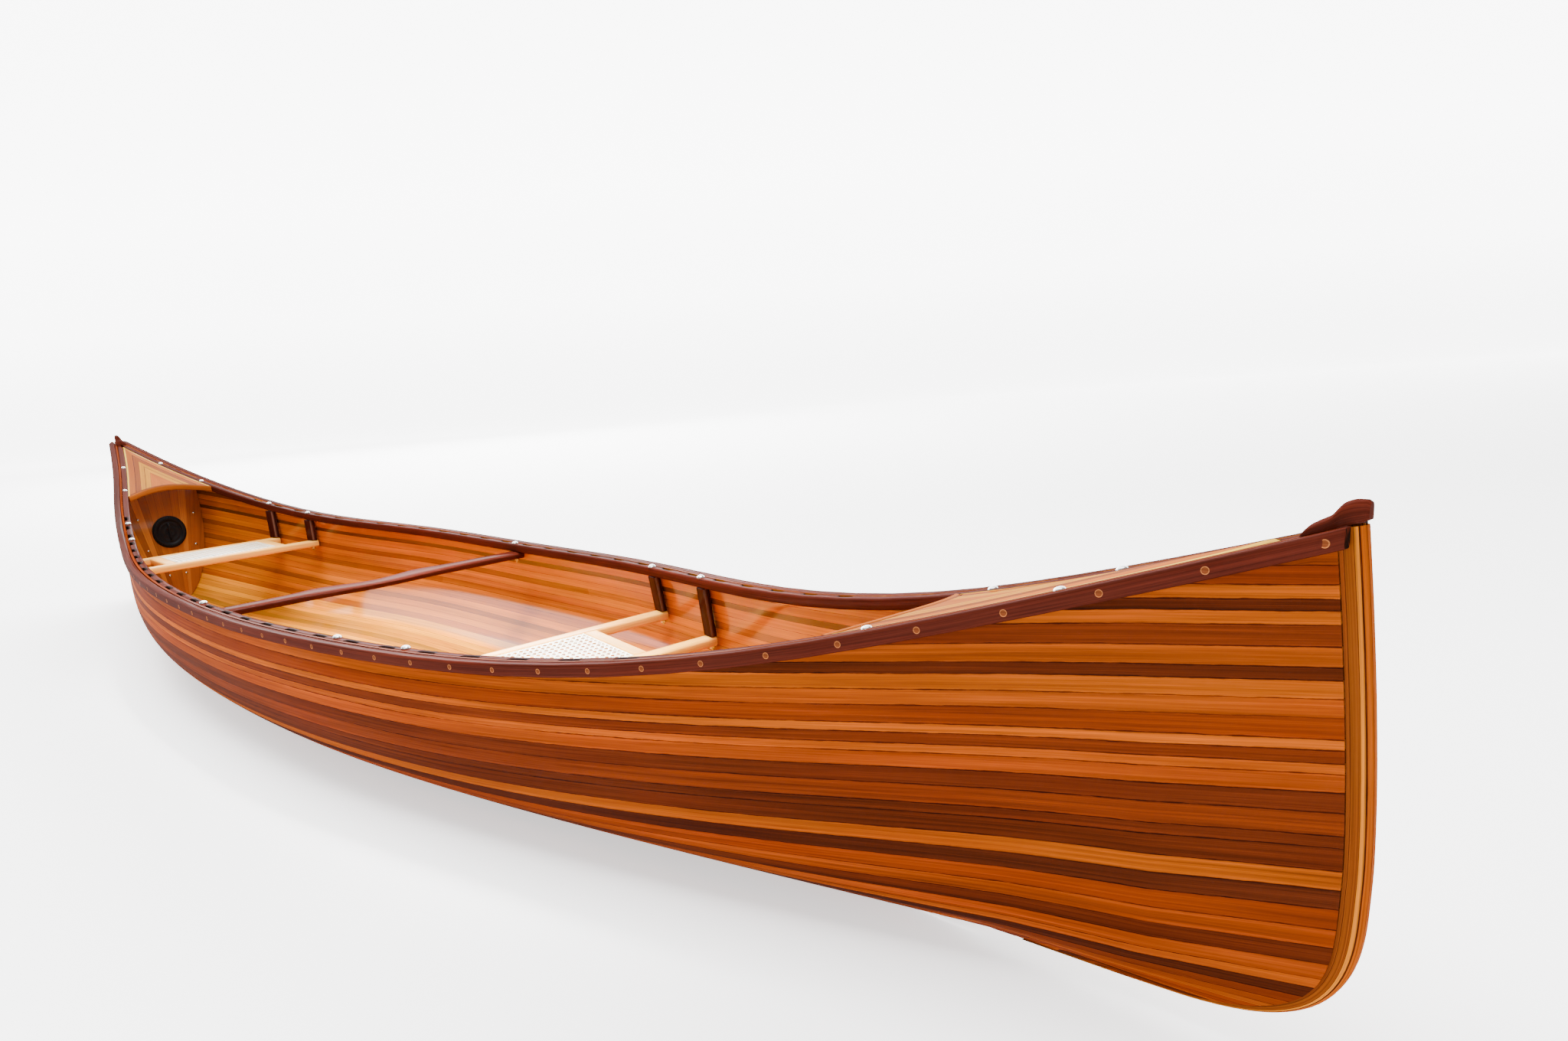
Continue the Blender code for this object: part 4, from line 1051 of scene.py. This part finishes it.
def make_outwale(side, word):
    piece = Piece()
    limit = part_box("outwale_" + word)[1].x
    places = np.concatenate([np.linspace(-limit, -1.7, 60), np.linspace(-1.7, 1.7, 120)[1:-1],
                             np.linspace(1.7, limit, 60)])
    thick = RAIL_WIDTH - 0.0003
    profile = rounded(thick, RAIL_HEIGHT, 0.0042, 4, centred=False)
    rings = []
    for x in places:
        inner = edge_breadth(x) + 3 * GAP
        taper = 0.6 + 0.4 * min(1.0, max(0.0, (limit - abs(x)) / 0.014)) ** 0.5
        low = edge_height(x) - RAIL_HEIGHT
        rings.append([(x, side * (inner + a * taper), low + b) for a, b in profile])
    sweep(piece, rings, "mahogany", shift=draw.uniform(0, 9), end_tone=END_GRAIN_AND_SHADE)
    piece.build("rounded_outwale_" + word, MAHOGANY, "hull", ("outwale_" + word,))
    bungs = Piece()
    for k in range(BUNG_COUNT):
        x = BUNG_FIRST_X - BUNG_PITCH * k
        inner = edge_breadth(x) + 3 * GAP
        out = Vector((-edge_slope(edge_breadth, x), side, 0)).normalized()
        matrix = facing((x, side * (inner + thick), edge_height(x) - RAIL_HEIGHT / 2), out)
        spun(bungs, [(0.0, 0.00012), (BUNG_RADIUS, 0.00012)], matrix, BUNG_FACE, sides=20)
        spun(bungs, [(BUNG_RADIUS, 0.00014), (0.0046, 0.00018), (0.0048, -0.001)], matrix,
             BUNG_GLUE_LINE, sides=20)
    bungs.build("outwale_bungs_" + word, MAHOGANY, "hull", weld=False)


def slot_depth(x, centres):
    near = min(abs(x - c) for c in centres)
    inside = max(0.0, 1 - (near / (SLOT_LENGTH / 2)) ** 4)
    return SLOT_DEPTH * inside ** 0.5


def make_inwale(side, word):
    piece = Piece()
    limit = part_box("inwale_" + word)[1].x
    centres = slot_centres()
    places = set(np.linspace(-limit, limit, 150))
    half = [0.3, 0.6, 0.8, 0.89, 0.95, 0.985, 1.0]
    for centre in centres:
        places.update(centre + SLOT_LENGTH / 2 * np.array([-v for v in half] + [0.0] + half))
    rings = []
    tones = []
    for x in sorted(places):
        outboard, inboard = inwale_faces(x)
        depth = slot_depth(x, centres)
        outboard -= depth
        top = edge_height(x)
        wide = outboard - inboard
        radius = min(0.0036, wide * 0.35)
        profile = rounded(wide, RAIL_HEIGHT, radius, 3, centred=False)
        rings.append([(x, side * (inboard + a), top - RAIL_HEIGHT + b) for a, b in profile])
        # the outboard faces of each slot are painted near-black: painted shade in the recess
        shaded = [depth > 0.2 * SLOT_DEPTH and a > wide * 0.5 for a, b in profile]
        tones.append([TONES["painted_slot_shade" if s else "mahogany"] for s in shaded + shaded[:1]])
    sweep(piece, rings, tones, shift=draw.uniform(0, 9), end_tone="mahogany")
    piece.build("slotted_inwale_" + word, MAHOGANY, "hull", ("inwale_" + word,))


# ---------------------------------------------------------------- decks

# Inlay bands as (near edge, far edge, tone), measured in from the gunwale
DECK_BANDS = ((0.0, 0.006, "cream"), (0.006, 0.027, "peach"), (0.027, 0.0285, "umber"),
              (0.0285, 0.046, "honey"), (0.046, 0.062, "straw"), (0.062, 0.0635, "brown"),
              (0.0635, 0.082, "straw"), (0.082, 0.200, "peach"))
COAMING_STRIP = 0.009       # width of the strip beside the coaming
COAMING_TONE = (0.26, 0.062, 0.006)


def make_deck(end):
    """Inlaid strips, mitred along the middle, with a strip beside the coaming."""
    word = end_name(end)
    piece = Piece()
    xs = np.linspace(DECK_CORNER_X, DECK_TIP_X, 400)
    half = np.array([deck_half(x) for x in xs])

    def tip(margin):
        return float(np.interp(-margin, -half, xs)) if margin > half[-1] else DECK_TIP_X

    def start(margin, setback):
        v = 1.0
        for _ in range(8):
            x = deck_edge_x(v, setback)
            v = max(0.0, (deck_half(x) - margin) / max(deck_half(x), 0.002))
        return deck_edge_x(v, setback)

    for side in (1, -1):
        for number, (near, far, tone) in enumerate(DECK_BANDS):
            shift = draw.uniform(0, 20)
            if near >= half[0]:
                continue
            margins = np.linspace(near, min(far, half[0]), 3 if number < 7 else 7)
            grid = []
            grain = []
            for margin in margins:
                first = start(margin, 0.0 if number == 0 else COAMING_STRIP)
                last = max(tip(margin), first)
                row = []
                xs_row = [first + (last - first) * share for share in np.linspace(0, 1, 48)]
                for x in xs_row:
                    y = max(deck_half(x) - margin, 0.0)
                    row.append((end * x, side * y, deck_top(x, y)))
                grid.append(row)
                grain.append([(x, margin + shift) for x in xs_row])
            wide = far - near
            local = np.minimum(margins - near, far - margins)
            edge = np.broadcast_to(np.clip(local, 0, wide)[:, None], (len(margins), 48))
            piece.patch(np.array(grid), tone, np.array(grain), edge=edge, turn=(side * end > 0))
        rows = []
        for setback in (0.0, COAMING_STRIP / 2, COAMING_STRIP):
            row = []
            for v in np.linspace(0, 1, 25):
                x = deck_edge_x(v, setback)
                y = max(deck_half(x) * v - 0.006 * v, 0.0)
                row.append((end * x, side * y, deck_top(x, y) + 0.00004))
            rows.append(row)
        grain = [[(p[1], 0.3 + 0.0045 * i) for p in row] for i, row in enumerate(rows)]
        piece.patch(np.array(rows), "honey", np.array(grain), edge=0.004, turn=(side * end < 0))
    under = []
    for drop in (0.0, DECK_THICKNESS):
        row = []
        for v in np.linspace(-1, 1, 41):
            x = deck_edge_x(v)
            y = v * deck_half(x)
            row.append((end * x, y, deck_top(x, y) - drop))
        under.append(row)
    piece.patch(np.array(under), "brown", np.array(under)[..., 1:], edge=0.01)
    rows = []
    for share in np.linspace(0, 1, 30):
        row = []
        for v in np.linspace(-1, 1, 21):
            first = deck_edge_x(v)
            x = first + (DECK_TIP_X - first) * share
            y = v * deck_half(x)
            row.append((end * x, y, deck_top(x, y) - DECK_THICKNESS))
        rows.append(row)
    piece.patch(np.array(rows), "brown", np.array(rows)[..., :2], edge=0.01)
    piece.build("inlaid_deck_" + word, INLAY, "hull",
                ("deck_border_" + word, "deck_field_" + word), weld=False)
    coaming = Piece()
    profile = rounded(COAMING_WIDTH - GAP, COAMING_HEIGHT + 0.001, 0.0036, 4)
    rings = []
    for v in np.linspace(-1, 1, 61):
        x = deck_edge_x(v, -(COAMING_WIDTH + GAP) / 2)
        y = v * deck_half(deck_edge_x(v))
        middle = deck_top(x, y) - (COAMING_HEIGHT - 0.001) / 2
        rings.append([(end * (x + a), y, middle + b) for a, b in profile])
    sweep(coaming, rings, COAMING_TONE, shift=draw.uniform(0, 9))
    coaming.build("rounded_coaming_" + word, MAHOGANY, "hull",
                  ("deck_coaming_" + word,))


# ---------------------------------------------------------------- bulkheads and hatches

BULKHEAD_SCREWS = ((0.100, 0.355), (0.086, 0.235), (0.030, 0.130))     # (y, z) on one side
SEAL_CENTRE = (0.0525, 0.0057)      # radius and height in the hatch's frame
SEAL_RADIUS = 0.0011
GRIP_HALF_LENGTH = 0.0345           # the finger grip across a lid
LID_RIBS = 36


def make_bulkhead(end):
    word = end_name(end)
    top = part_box("bulkhead_" + word)[1].z
    side = [(max(y - BULKHEAD_PLAY, 0.002), z)
            for y, z in inside_section(BULKHEAD_X + BULKHEAD_THICKNESS)]
    side[0] = (side[0][0], side[0][1] + BULKHEAD_PLAY)
    edge_y = read_off(top, [(z, y) for y, z in side])
    half = [p for p in side if p[1] < top] + [(edge_y, top)]
    outline = np.array(half + [(-y, z) for y, z in reversed(half)] + [half[0]])
    piece = Piece()
    steps = arc_length(outline)
    places = sorted(set(steps) | set(np.linspace(0, steps[-1], 140)))
    rim = np.stack([np.interp(places, steps, outline[:, k]) for k in range(2)], axis=-1)
    centre = np.array([0.0, HATCH_Z])
    ray = rim - centre
    ring = centre + ray / np.linalg.norm(ray, axis=1, keepdims=True) * HATCH_HOLE_RADIUS
    shares = (0.0, 0.35, 0.7, 1.0)
    for x in (BULKHEAD_X, BULKHEAD_X + BULKHEAD_THICKNESS):
        rows = np.stack([ring + (rim - ring) * share for share in shares])
        grid = np.concatenate([np.full((*rows.shape[:2], 1), end * x), rows], axis=-1)
        piece.patch(grid, "orange", rows)
    for line in (rim, ring):
        wall = np.stack([np.c_[np.full(len(line), end * BULKHEAD_X), line],
                         np.c_[np.full(len(line), end * (BULKHEAD_X + BULKHEAD_THICKNESS)), line]])
        piece.patch(wall, "orange", np.stack([line, line]))
    piece.build("fan_bulkhead_" + word, FAN, "hull", ("bulkhead_" + word,), angle=30)
    screws = Piece()
    turn = hatch_frame(end).to_3x3().to_4x4()
    for y, z in BULKHEAD_SCREWS:
        for sign in (1, -1):
            place = Matrix.Translation((end * BULKHEAD_X, sign * y, z))
            spun(screws, [(0.0, 0.0026), (0.0022, 0.0023), (0.0042, 0.0014), (0.0052, 0.0004),
                          (0.0053, 0.0)], place @ turn, "cream", sides=24)
    screws.build("bulkhead_screws_" + word, STEEL, "hull")


def make_hatch(end):
    word = end_name(end)
    place = hatch_frame(end)
    flange = Piece()
    hole = HATCH_HOLE_RADIUS - 0.0006
    throat = HATCH_THROAT_RADIUS
    ring_r = HATCH_RING_RADIUS
    spun(flange, [(throat, -0.010), (hole, -0.010), (hole, GAP), (ring_r - 0.0004, GAP),
                  (ring_r, 0.0008), (ring_r, 0.0024), (ring_r - 0.0008, 0.0036),
                  (ring_r - 0.0022, 0.0042), (0.0560, 0.0042), (0.0552, 0.0037), (0.0542, 0.0042),
                  (throat + 0.0006, 0.0042), (throat, 0.0036), (throat, -0.010)],
         place, "umber", sides=96)
    flange.build("moulded_ring_" + word, BLACK, "hull", ("hatch_ring_" + word,))
    seal = Piece()
    loop = [(SEAL_CENTRE[0] + SEAL_RADIUS * math.cos(a), SEAL_CENTRE[1] + SEAL_RADIUS * math.sin(a))
            for a in np.linspace(0, 2 * math.pi, 13)]
    spun(seal, loop, place, "umber", sides=96)
    seal.build("round_seal_" + word, RUBBER, word + "_hatch_carrier",
               ("hatch_seal_" + word,))
    lid = Piece()
    plug = HATCH_PLUG_RADIUS
    rim = HATCH_LID_RADIUS
    spun(lid, [(0.0, -0.004), (plug - 0.004, -0.004), (plug - 0.0005, -0.0028), (plug, -0.002),
               (plug, 0.0072), (rim - 0.0008, 0.0072), (rim, 0.0078), (rim, 0.0090),
               (rim - 0.0012, 0.0102), (rim - 0.0028, 0.0105), (plug - 0.0020, 0.0105),
               (plug - 0.0034, 0.0098), (plug - 0.0050, 0.0074), (plug - 0.0066, 0.0065),
               (0.0360, 0.0065), (0.0352, 0.0070), (0.0340, 0.0070), (0.0332, 0.0065),
               (0.0180, 0.0065), (0.0172, 0.0069), (0.0160, 0.0069), (0.0152, 0.0065),
               (0.0, 0.0065)], place, "umber", sides=96)
    rings = []
    for share in np.linspace(-1, 1, 25):
        x = GRIP_HALF_LENGTH * share
        pinch = (1 - abs(share) ** 6) ** 0.5
        wide = 0.0115 * (0.80 + 0.20 * share * share) * max(pinch, 0.25)
        tall = 0.0078 * max(pinch, 0.3)
        profile = rounded(wide, tall, min(wide, tall) * 0.38, 3)
        rings.append([(x, a, 0.0064 + tall / 2 + b) for a, b in profile])
    sweep(lid, placed(np.array(rings), place), "umber")
    profile = rounded(0.0042, 0.0016, 0.0006, 2)
    rib = np.array([[(a, y, b * 0.5) for a, b in profile] for y in (-0.0011, -0.0007, 0.0007, 0.0011)])
    for k in range(LID_RIBS):
        turn = Matrix.Rotation(2 * math.pi * k / LID_RIBS, 4, "Z")
        sweep(lid, placed(rib, place @ turn @ Matrix.Translation((0.0523, 0, 0.0103))), "umber")
    lid.build("screw_lid_" + word, BLACK, word + "_hatch_lid",
              ("hatch_lid_" + word,))


# ---------------------------------------------------------------- yoke, seats and bolts

def make_yoke_visual():
    piece = Piece()
    low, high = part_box("yoke")
    profile = rounded(2.0, 2.0, 0.62, 6)
    rings = []
    for y in np.linspace(low.y, high.y, 121):
        aft, forward = yoke_edges(y)
        middle = YOKE_X + (forward - aft) / 2
        wide = (forward + aft) / 2
        hollow = 0.0022 * bump(y, 0.0, 0.09)
        tall = (high.z - low.z) / 2
        rings.append([(middle + a * wide, y, low.z + tall + b * tall
                       - (hollow if b > 0.5 else 0.0)) for a, b in profile])
    sweep(piece, rings, "mahogany", shift=draw.uniform(0, 9))
    piece.build("carved_yoke", MAHOGANY, "hull", ("yoke",))


WASHER_THICKNESS = 0.0016
WASHER_RADIUS = 0.0085


def bolt_profile(grip):
    """Profiles of the head and shank, the washer and the end, for wood of a given thickness."""
    clear = WASHER_THICKNESS
    head = BOLT_HEAD_RADIUS
    tall = BOLT_HEAD_HEIGHT
    dome = [(head * math.sin(a), clear * 0.4 + tall * 1.35 * math.cos(a))
            for a in np.linspace(0, math.pi / 2, 9)]
    dome += [(head, 0.0003), (BOLT_RADIUS, 0.0003), (BOLT_RADIUS, -grip - clear)]
    washer = [(BOLT_RADIUS, -grip - 0.0003), (WASHER_RADIUS, -grip - 0.0003),
              (WASHER_RADIUS, -grip - clear), (BOLT_RADIUS, -grip - clear)]
    foot = -grip - clear - NUT_HEIGHT
    tail = [(BOLT_RADIUS, foot), (BOLT_RADIUS, foot - 0.004), (BOLT_RADIUS - 0.0008, foot - 0.005),
            (0.0, foot - 0.005)]
    return dome, washer, tail


def make_bolt_visual(name, matrix, grip):
    piece = Piece()
    for profile, sides in zip(bolt_profile(grip), (36, 36, 24)):
        spun(piece, profile, matrix, "cream", sides=sides)
    base = -grip - WASHER_THICKNESS
    spun(piece, [(0.003, base), (NUT_RADIUS - 0.0006, base), (NUT_RADIUS, base - 0.0006),
                 (NUT_RADIUS, base - NUT_HEIGHT + 0.0006), (NUT_RADIUS - 0.0006, base - NUT_HEIGHT),
                 (0.003, base - NUT_HEIGHT)], matrix, "cream", sides=6)
    piece.build("domed_" + name, STEEL, "hull", (name,), angle=30)


def bar_box(piece, low, high, radius, tone, axis, lean=0.0):
    """A wooden bar in a box, with rounded long edges; its top may lean along X."""
    size = [high[k] - low[k] for k in range(3)]
    others = [k for k in range(3) if k != axis]
    profile = rounded(size[others[0]], size[others[1]], radius, 5)
    rings = []
    ends = ((0.0, 0.86), (0.0015, 0.97), (0.004, 1.0))
    places = [(low[axis] + d, s) for d, s in ends] + [(high[axis] - d, s) for d, s in reversed(ends)]
    for place, scale in places:
        ring = []
        for a, b in profile:
            point = [0.0, 0.0, 0.0]
            point[axis] = place
            point[others[0]] = (low[others[0]] + high[others[0]]) / 2 + a * scale
            point[others[1]] = (low[others[1]] + high[others[1]]) / 2 + b * scale
            point[2] += lean * (point[0] - (low[0] + high[0]) / 2)
            ring.append(point)
        rings.append(ring)
    sweep(piece, rings, tone, shift=draw.uniform(0, 9))


HANGER_BEVEL = 0.0034
CANE_CELL = 0.0150          # pitch of the weave
CANE_INSET = 0.0004
PAIR_OFFSET = 0.0020        # of each strand from the middle of its pair
PAIR_STRAND = 0.0021
DIAGONAL_STRAND = 0.0019
CANE_BORDER_RADIUS = 0.0019


def make_seat_visual(end):
    centre, rear_top, front_top, splay = SEATS[end]
    half = SEAT_RAIL_WIDTH / 2
    rear_x = centre - SEAT_BOLT_SPACING / 2 + half + GAP
    front_x = centre + SEAT_BOLT_SPACING / 2 - half - GAP
    lean = (front_top - rear_top) / (front_x - rear_x)
    for place, sign, top in (("rear", -1, rear_top), ("front", 1, front_top)):
        name = f"seat_{end}_{place}_rail"
        piece = Piece()
        low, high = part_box(name)
        bar_box(piece, low, high, 0.0065, "ash", 1)
        piece.build("rounded_" + name, ASH, "hull", (name,))
        x = centre + sign * SEAT_BOLT_SPACING / 2
        for side, word in ((1, "port"), (-1, "starboard")):
            upper, lower = hanger_line(x, top, splay)
            profile = rounded(HANGER_X, HANGER_Y, HANGER_BEVEL, 2)
            slope = edge_slope(lambda at: inwale_faces(at)[0], x)
            drop = abs(edge_height(x + HANGER_X / 2) - edge_height(x - HANGER_X / 2)) / 2
            rings = []
            tall = upper.z - lower.z - drop - 4 * GAP
            for d, s in ((0.0, 0.90), (0.0012, 0.98), (0.003, 1.0), (tall - 0.003, 1.0),
                         (tall - 0.0012, 0.98), (tall, 0.90)):
                share = d / tall
                y = lower.y + (upper.y - lower.y) * share
                z = lower.z + 2 * GAP + d
                rings.append([(x + a * s, side * (y + b * s + slope * a), z) for a, b in profile])
            post = Piece()
            # bevel corners get edge 0, where the post material paints a pale highlight
            bevel_glint_mask = [0.0 if (abs(a) > HANGER_X / 2 - HANGER_BEVEL
                              and abs(b) > HANGER_Y / 2 - HANGER_BEVEL) else 0.004 for a, b in profile]
            sweep(post, rings, "rosewood", shift=draw.uniform(0, 9),
                  edge=np.array(bevel_glint_mask + bevel_glint_mask[:1])[None, :])
            post.build(f"bevelled_seat_{end}_{place}_hanger_{word}", POST, "hull",
                       (f"seat_{end}_{place}_hanger_{word}",))
            matrix = bolt_matrix(upper, lower, side, edge_height(x))
            grip = (edge_height(x) - (top - SEAT_RAIL_HEIGHT)) / matrix.col[2][2]
            make_bolt_visual(f"seat_{end}_{place}_bolt_{word}", matrix, grip)

    def frame_top(x):
        return rear_top + (front_top - rear_top) * (x - rear_x) / (front_x - rear_x)

    for side, word in ((1, "port"), (-1, "starboard")):
        name = f"seat_{end}_stretcher_{word}"
        low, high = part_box(name)
        middle = (frame_top(rear_x) + frame_top(front_x)) / 2
        piece = Piece()
        bar_box(piece, (low.x, low.y, middle - SEAT_RAIL_HEIGHT), (high.x, high.y, middle), 0.0055,
                "ash", 0, lean=lean)
        piece.build("rounded_" + name, ASH, "hull", (name,))
    weave_seat(end, frame_top)


def weave_seat(end, frame_top):
    """Six-way cane: pairs along and across, and single strands on both diagonals."""
    low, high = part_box(f"seat_{end}_cane")
    cell = CANE_CELL
    x0, x1 = low.x + CANE_INSET, high.x - CANE_INSET
    y0, y1 = CANE_INSET - high.y, high.y - CANE_INSET
    middle_x = (x0 + x1) / 2
    piece = Piece()

    def strand(start, stop, layer, phase, wide):
        start = np.array(start)
        stop = np.array(stop)
        length = float(np.linalg.norm(stop - start))
        if length < 0.006:
            return
        count = max(6, int(length / cell * 4))
        way = (stop - start) / length
        side = np.array([-way[1], way[0]])
        shares = np.linspace(0, 1, count + 1)
        line = start + shares[:, None] * (stop - start)
        wave = 0.00035 * np.sin(2 * math.pi * shares * length / cell + phase)
        rows = []
        for k, offset in enumerate((-1.0, 0.0, 1.0)):
            at = line + side * offset * wide / 2
            at[:, 0] = np.clip(at[:, 0], x0, x1)
            at[:, 1] = np.clip(at[:, 1], y0, y1)
            lift = -0.0005 - layer + wave + (0.00028 if k == 1 else 0.0)
            z = np.array([frame_top(x) for x in at[:, 0]]) + np.minimum(lift, -0.0005)
            rows.append(np.c_[at, z])
        grid = np.stack(rows, axis=1)
        shade = np.array(TONES["cane"]) * draw.uniform(0.9, 1.05)
        piece.patch(grid, shade, crossed(shares * length, np.arange(3) * 0.001))

    def cut(offset_x, offset_y, way_x, way_y):
        """Ends of a line through a point, cut by the panel's edges."""
        enter, leave = -9.0, 9.0
        for position, way, least, most in ((offset_x, way_x, x0, x1), (offset_y, way_y, y0, y1)):
            if abs(way) > 1e-9:
                a, b = sorted(((least - position) / way, (most - position) / way))
                enter, leave = max(enter, a), min(leave, b)
            elif not least <= position <= most:
                return None
        if leave <= enter:
            return None
        return ((offset_x + way_x * enter, offset_y + way_y * enter),
                (offset_x + way_x * leave, offset_y + way_y * leave))

    for k in range(-16, 17):
        for pair in (-1, 1):
            offset = k * cell + pair * PAIR_OFFSET
            ends = cut(0.0, offset, 1.0, 0.0)
            if ends:
                strand(*ends, 0.0012, pair * 1.6, PAIR_STRAND)
            ends = cut(middle_x + offset, 0.0, 0.0, 1.0)
            if ends:
                strand(*ends, 0.0007, 1.6 - pair * 1.6, PAIR_STRAND)
    for k in range(-40, 41):
        for sign in (-1, 1):
            ends = cut(middle_x + (k + 0.5) * cell, 0.0, math.sqrt(0.5), sign * math.sqrt(0.5))
            if ends:
                strand(*ends, 0.0004 if sign > 0 else 0.0002, k * 3.1, DIAGONAL_STRAND)
    for x, y, dx, dy in ((x0 + 0.002, 0, 0, 1), (x1 - 0.002, 0, 0, 1), (middle_x, y0 + 0.002, 1, 0),
                         (middle_x, y1 - 0.002, 1, 0)):
        ends = cut(x, y, float(dx), float(dy))
        rings = []
        for share in np.linspace(0, 1, 30):
            px = ends[0][0] + (ends[1][0] - ends[0][0]) * share
            py = ends[0][1] + (ends[1][1] - ends[0][1]) * share
            ring = []
            for angle in np.linspace(0, 2 * math.pi, 9)[:-1]:
                off = CANE_BORDER_RADIUS * math.cos(angle)
                ring.append((px + off * dy, py + off * dx,
                             frame_top(px) - 0.0020 + 0.0014 * math.sin(angle)))
            rings.append(ring)
        sweep(piece, rings, "cane")
    piece.build(f"woven_seat_{end}", CANE, "hull", (f"seat_{end}_cane",), weld=False)


DECK_SCREW_X = (1.853, 2.100)


def make_deck_screws(end):
    piece = Piece()
    dome = [(0.0078 * math.sin(a), 0.0044 * math.cos(a)) for a in np.linspace(0, math.pi / 2, 8)]
    for x in DECK_SCREW_X:
        for side in (1, -1):
            outboard, inboard = inwale_faces(x)
            y = (outboard + inboard) / 2
            normal = Vector((-end * edge_slope(edge_height, x), 0, 1)).normalized()
            place = facing((end * x, side * y, edge_height(x) - 0.0002), normal)
            spun(piece, dome, place, "cream", sides=32)
    piece.build("deck_screws_" + end_name(end), STEEL, "hull")


# ---------------------------------------------------------------- build everything

make_planking(1, "port", STRIPS_ABOVE, PORT_BELOW)
make_planking(-1, "starboard", STRIPS_ABOVE, STARBOARD_BELOW)
for end in (1, -1):
    make_stem(end)
    make_cap(end)
    make_deck(end)
    make_bulkhead(end)
    make_hatch(end)
    make_deck_screws(end)
    inner = frame["nodes"]["inner_stem_" + end_name(end)]
    inner.data.materials.clear()
    inner.data.materials.append(ASH)
for side, word in ((1, "port"), (-1, "starboard")):
    make_outwale(side, word)
    make_inwale(side, word)
    upper, lower = hanger_line(YOKE_X, edge_height(YOKE_X) - 0.05, 0.0)
    make_bolt_visual("yoke_bolt_" + word, bolt_matrix(upper, lower, side, edge_height(YOKE_X)),
                     RAIL_HEIGHT + YOKE_THICKNESS + 3 * GAP)
make_yoke_visual()
for end in SEATS:
    make_seat_visual(end)


# ---------------------------------------------------------------- floor, lights and camera

def make_backdrop():
    """A white floor that curves up into a wall and glows more with distance and height."""
    turn = math.pi - CAMERA_YAW
    away = Vector((math.cos(turn), math.sin(turn), 0))
    across = Vector((-away.y, away.x, 0))
    outline = [(-BACKDROP_HALF, 0.0), (GLOW_START, 0.0), (BACKDROP_START, 0.0)]
    for angle in np.linspace(0, math.pi / 2, 24)[1:]:
        outline.append((BACKDROP_START + COVE_RADIUS * math.sin(angle),
                        COVE_RADIUS * (1 - math.cos(angle))))
    outline.append((BACKDROP_START + COVE_RADIUS, BACKDROP_TOP))
    points = []
    glow = []
    for distance, height in outline:
        for side in (-BACKDROP_HALF, BACKDROP_HALF):
            points.append(away * distance + across * side + Vector((0, 0, height - 0.001)))
            far = min(1.0, max(0.0, (distance - GLOW_START) / (BACKDROP_START - GLOW_START)))
            glow.append(min(1.0, 0.5 * far + height / COVE_RADIUS))
    faces = [(2 * k, 2 * k + 1, 2 * k + 3, 2 * k + 2) for k in range(len(outline) - 1)]
    mesh = bpy.data.meshes.new("backdrop")
    mesh.from_pydata(points, [], faces)
    layer = mesh.attributes.new("glow", "FLOAT", "POINT")
    layer.data.foreach_set("value", glow)
    n = Nodes("backdrop")
    n.surface(Base_Color=(0.93, 0.93, 0.93, 1.0), Roughness=0.8, Emission_Color=(1.0, 1.0, 1.0, 1.0),
              Emission_Strength=n.span(n.attribute("glow"), 0.0, 1.0, FLOOR_GLOW, WALL_GLOW))
    mesh.materials.append(n.material)
    mesh.shade_smooth()
    add_object("backdrop", mesh)


def soft_light(name, place, aim, size, power, spread=math.pi):
    data = bpy.data.lights.new(name, "AREA")
    data.shape = "RECTANGLE"
    data.size, data.size_y = size
    data.energy = power
    data.spread = spread
    made = add_object(name, data)
    made.location = place
    way = Vector(aim) - Vector(place)
    made.rotation_euler = way.to_track_quat("-Z", "Y").to_euler()
    made.visible_camera = False


CAMERA_YAW = 0.7061
CAMERA_PITCH = 0.2831
CAMERA_ROLL = -0.0739
CAMERA_PLACE = (2.847, -1.184, 0.849)
CAMERA_LENS = 26.142
CAMERA_SHIFT = (0.0208, 0.0958)
BACKDROP_START = 11.0       # from the canoe to the foot of the cove, away from the camera
BACKDROP_HALF = 60.0
BACKDROP_TOP = 30.0
COVE_RADIUS = 3.0
GLOW_START = 2.5            # distance at which the floor starts to glow more
FLOOR_GLOW = 0.9
WALL_GLOW = 6.0
WORLD_STRENGTH = 0.9

make_backdrop()
soft_light("key_light", (0.6, -0.6, 4.4), (0.4, 0.0, 0.2), (6.0, 2.6), 640)
soft_light("fill_light", (3.4, -4.2, 1.8), (1.0, 0.0, 0.3), (3.4, 2.0), 60)
soft_light("far_light", (-5.5, 3.2, 3.9), (0.0, 0.0, 0.2), (7.0, 2.8), 420)
soft_light("glow_light", (-8.5, 4.6, 3.0), (0.3, 0.0, 0.05), (6.0, 2.0), 1000)
soft_light("cockpit_light", (0.25, 0.10, 1.9), (0.25, 0.0, 0.0), (2.2, 0.3), 34, spread=0.7)
world = bpy.data.worlds.new("studio")
bpy.context.scene.world = world
world.use_nodes = True
background = world.node_tree.nodes["Background"]
background.inputs["Color"].default_value = (1.0, 1.0, 1.0, 1.0)
background.inputs["Strength"].default_value = WORLD_STRENGTH

camera_data = bpy.data.cameras.new("camera")
camera_data.sensor_width = 36.0
camera_data.lens = CAMERA_LENS
camera_data.shift_x, camera_data.shift_y = CAMERA_SHIFT
camera_data.clip_end = 200.0
camera = add_object("camera", camera_data)
forward = Vector((-math.cos(CAMERA_YAW) * math.cos(CAMERA_PITCH),
                  math.sin(CAMERA_YAW) * math.cos(CAMERA_PITCH), -math.sin(CAMERA_PITCH)))
level = forward.cross(Vector((0, 0, 1))).normalized()
rise = level.cross(forward)
image_right = math.cos(CAMERA_ROLL) * level + math.sin(CAMERA_ROLL) * rise
image_up = math.cos(CAMERA_ROLL) * rise - math.sin(CAMERA_ROLL) * level
turn = Matrix((image_right, image_up, -forward)).transposed().to_4x4()
camera.matrix_world = Matrix.Translation(CAMERA_PLACE) @ turn
bpy.context.scene.camera = camera
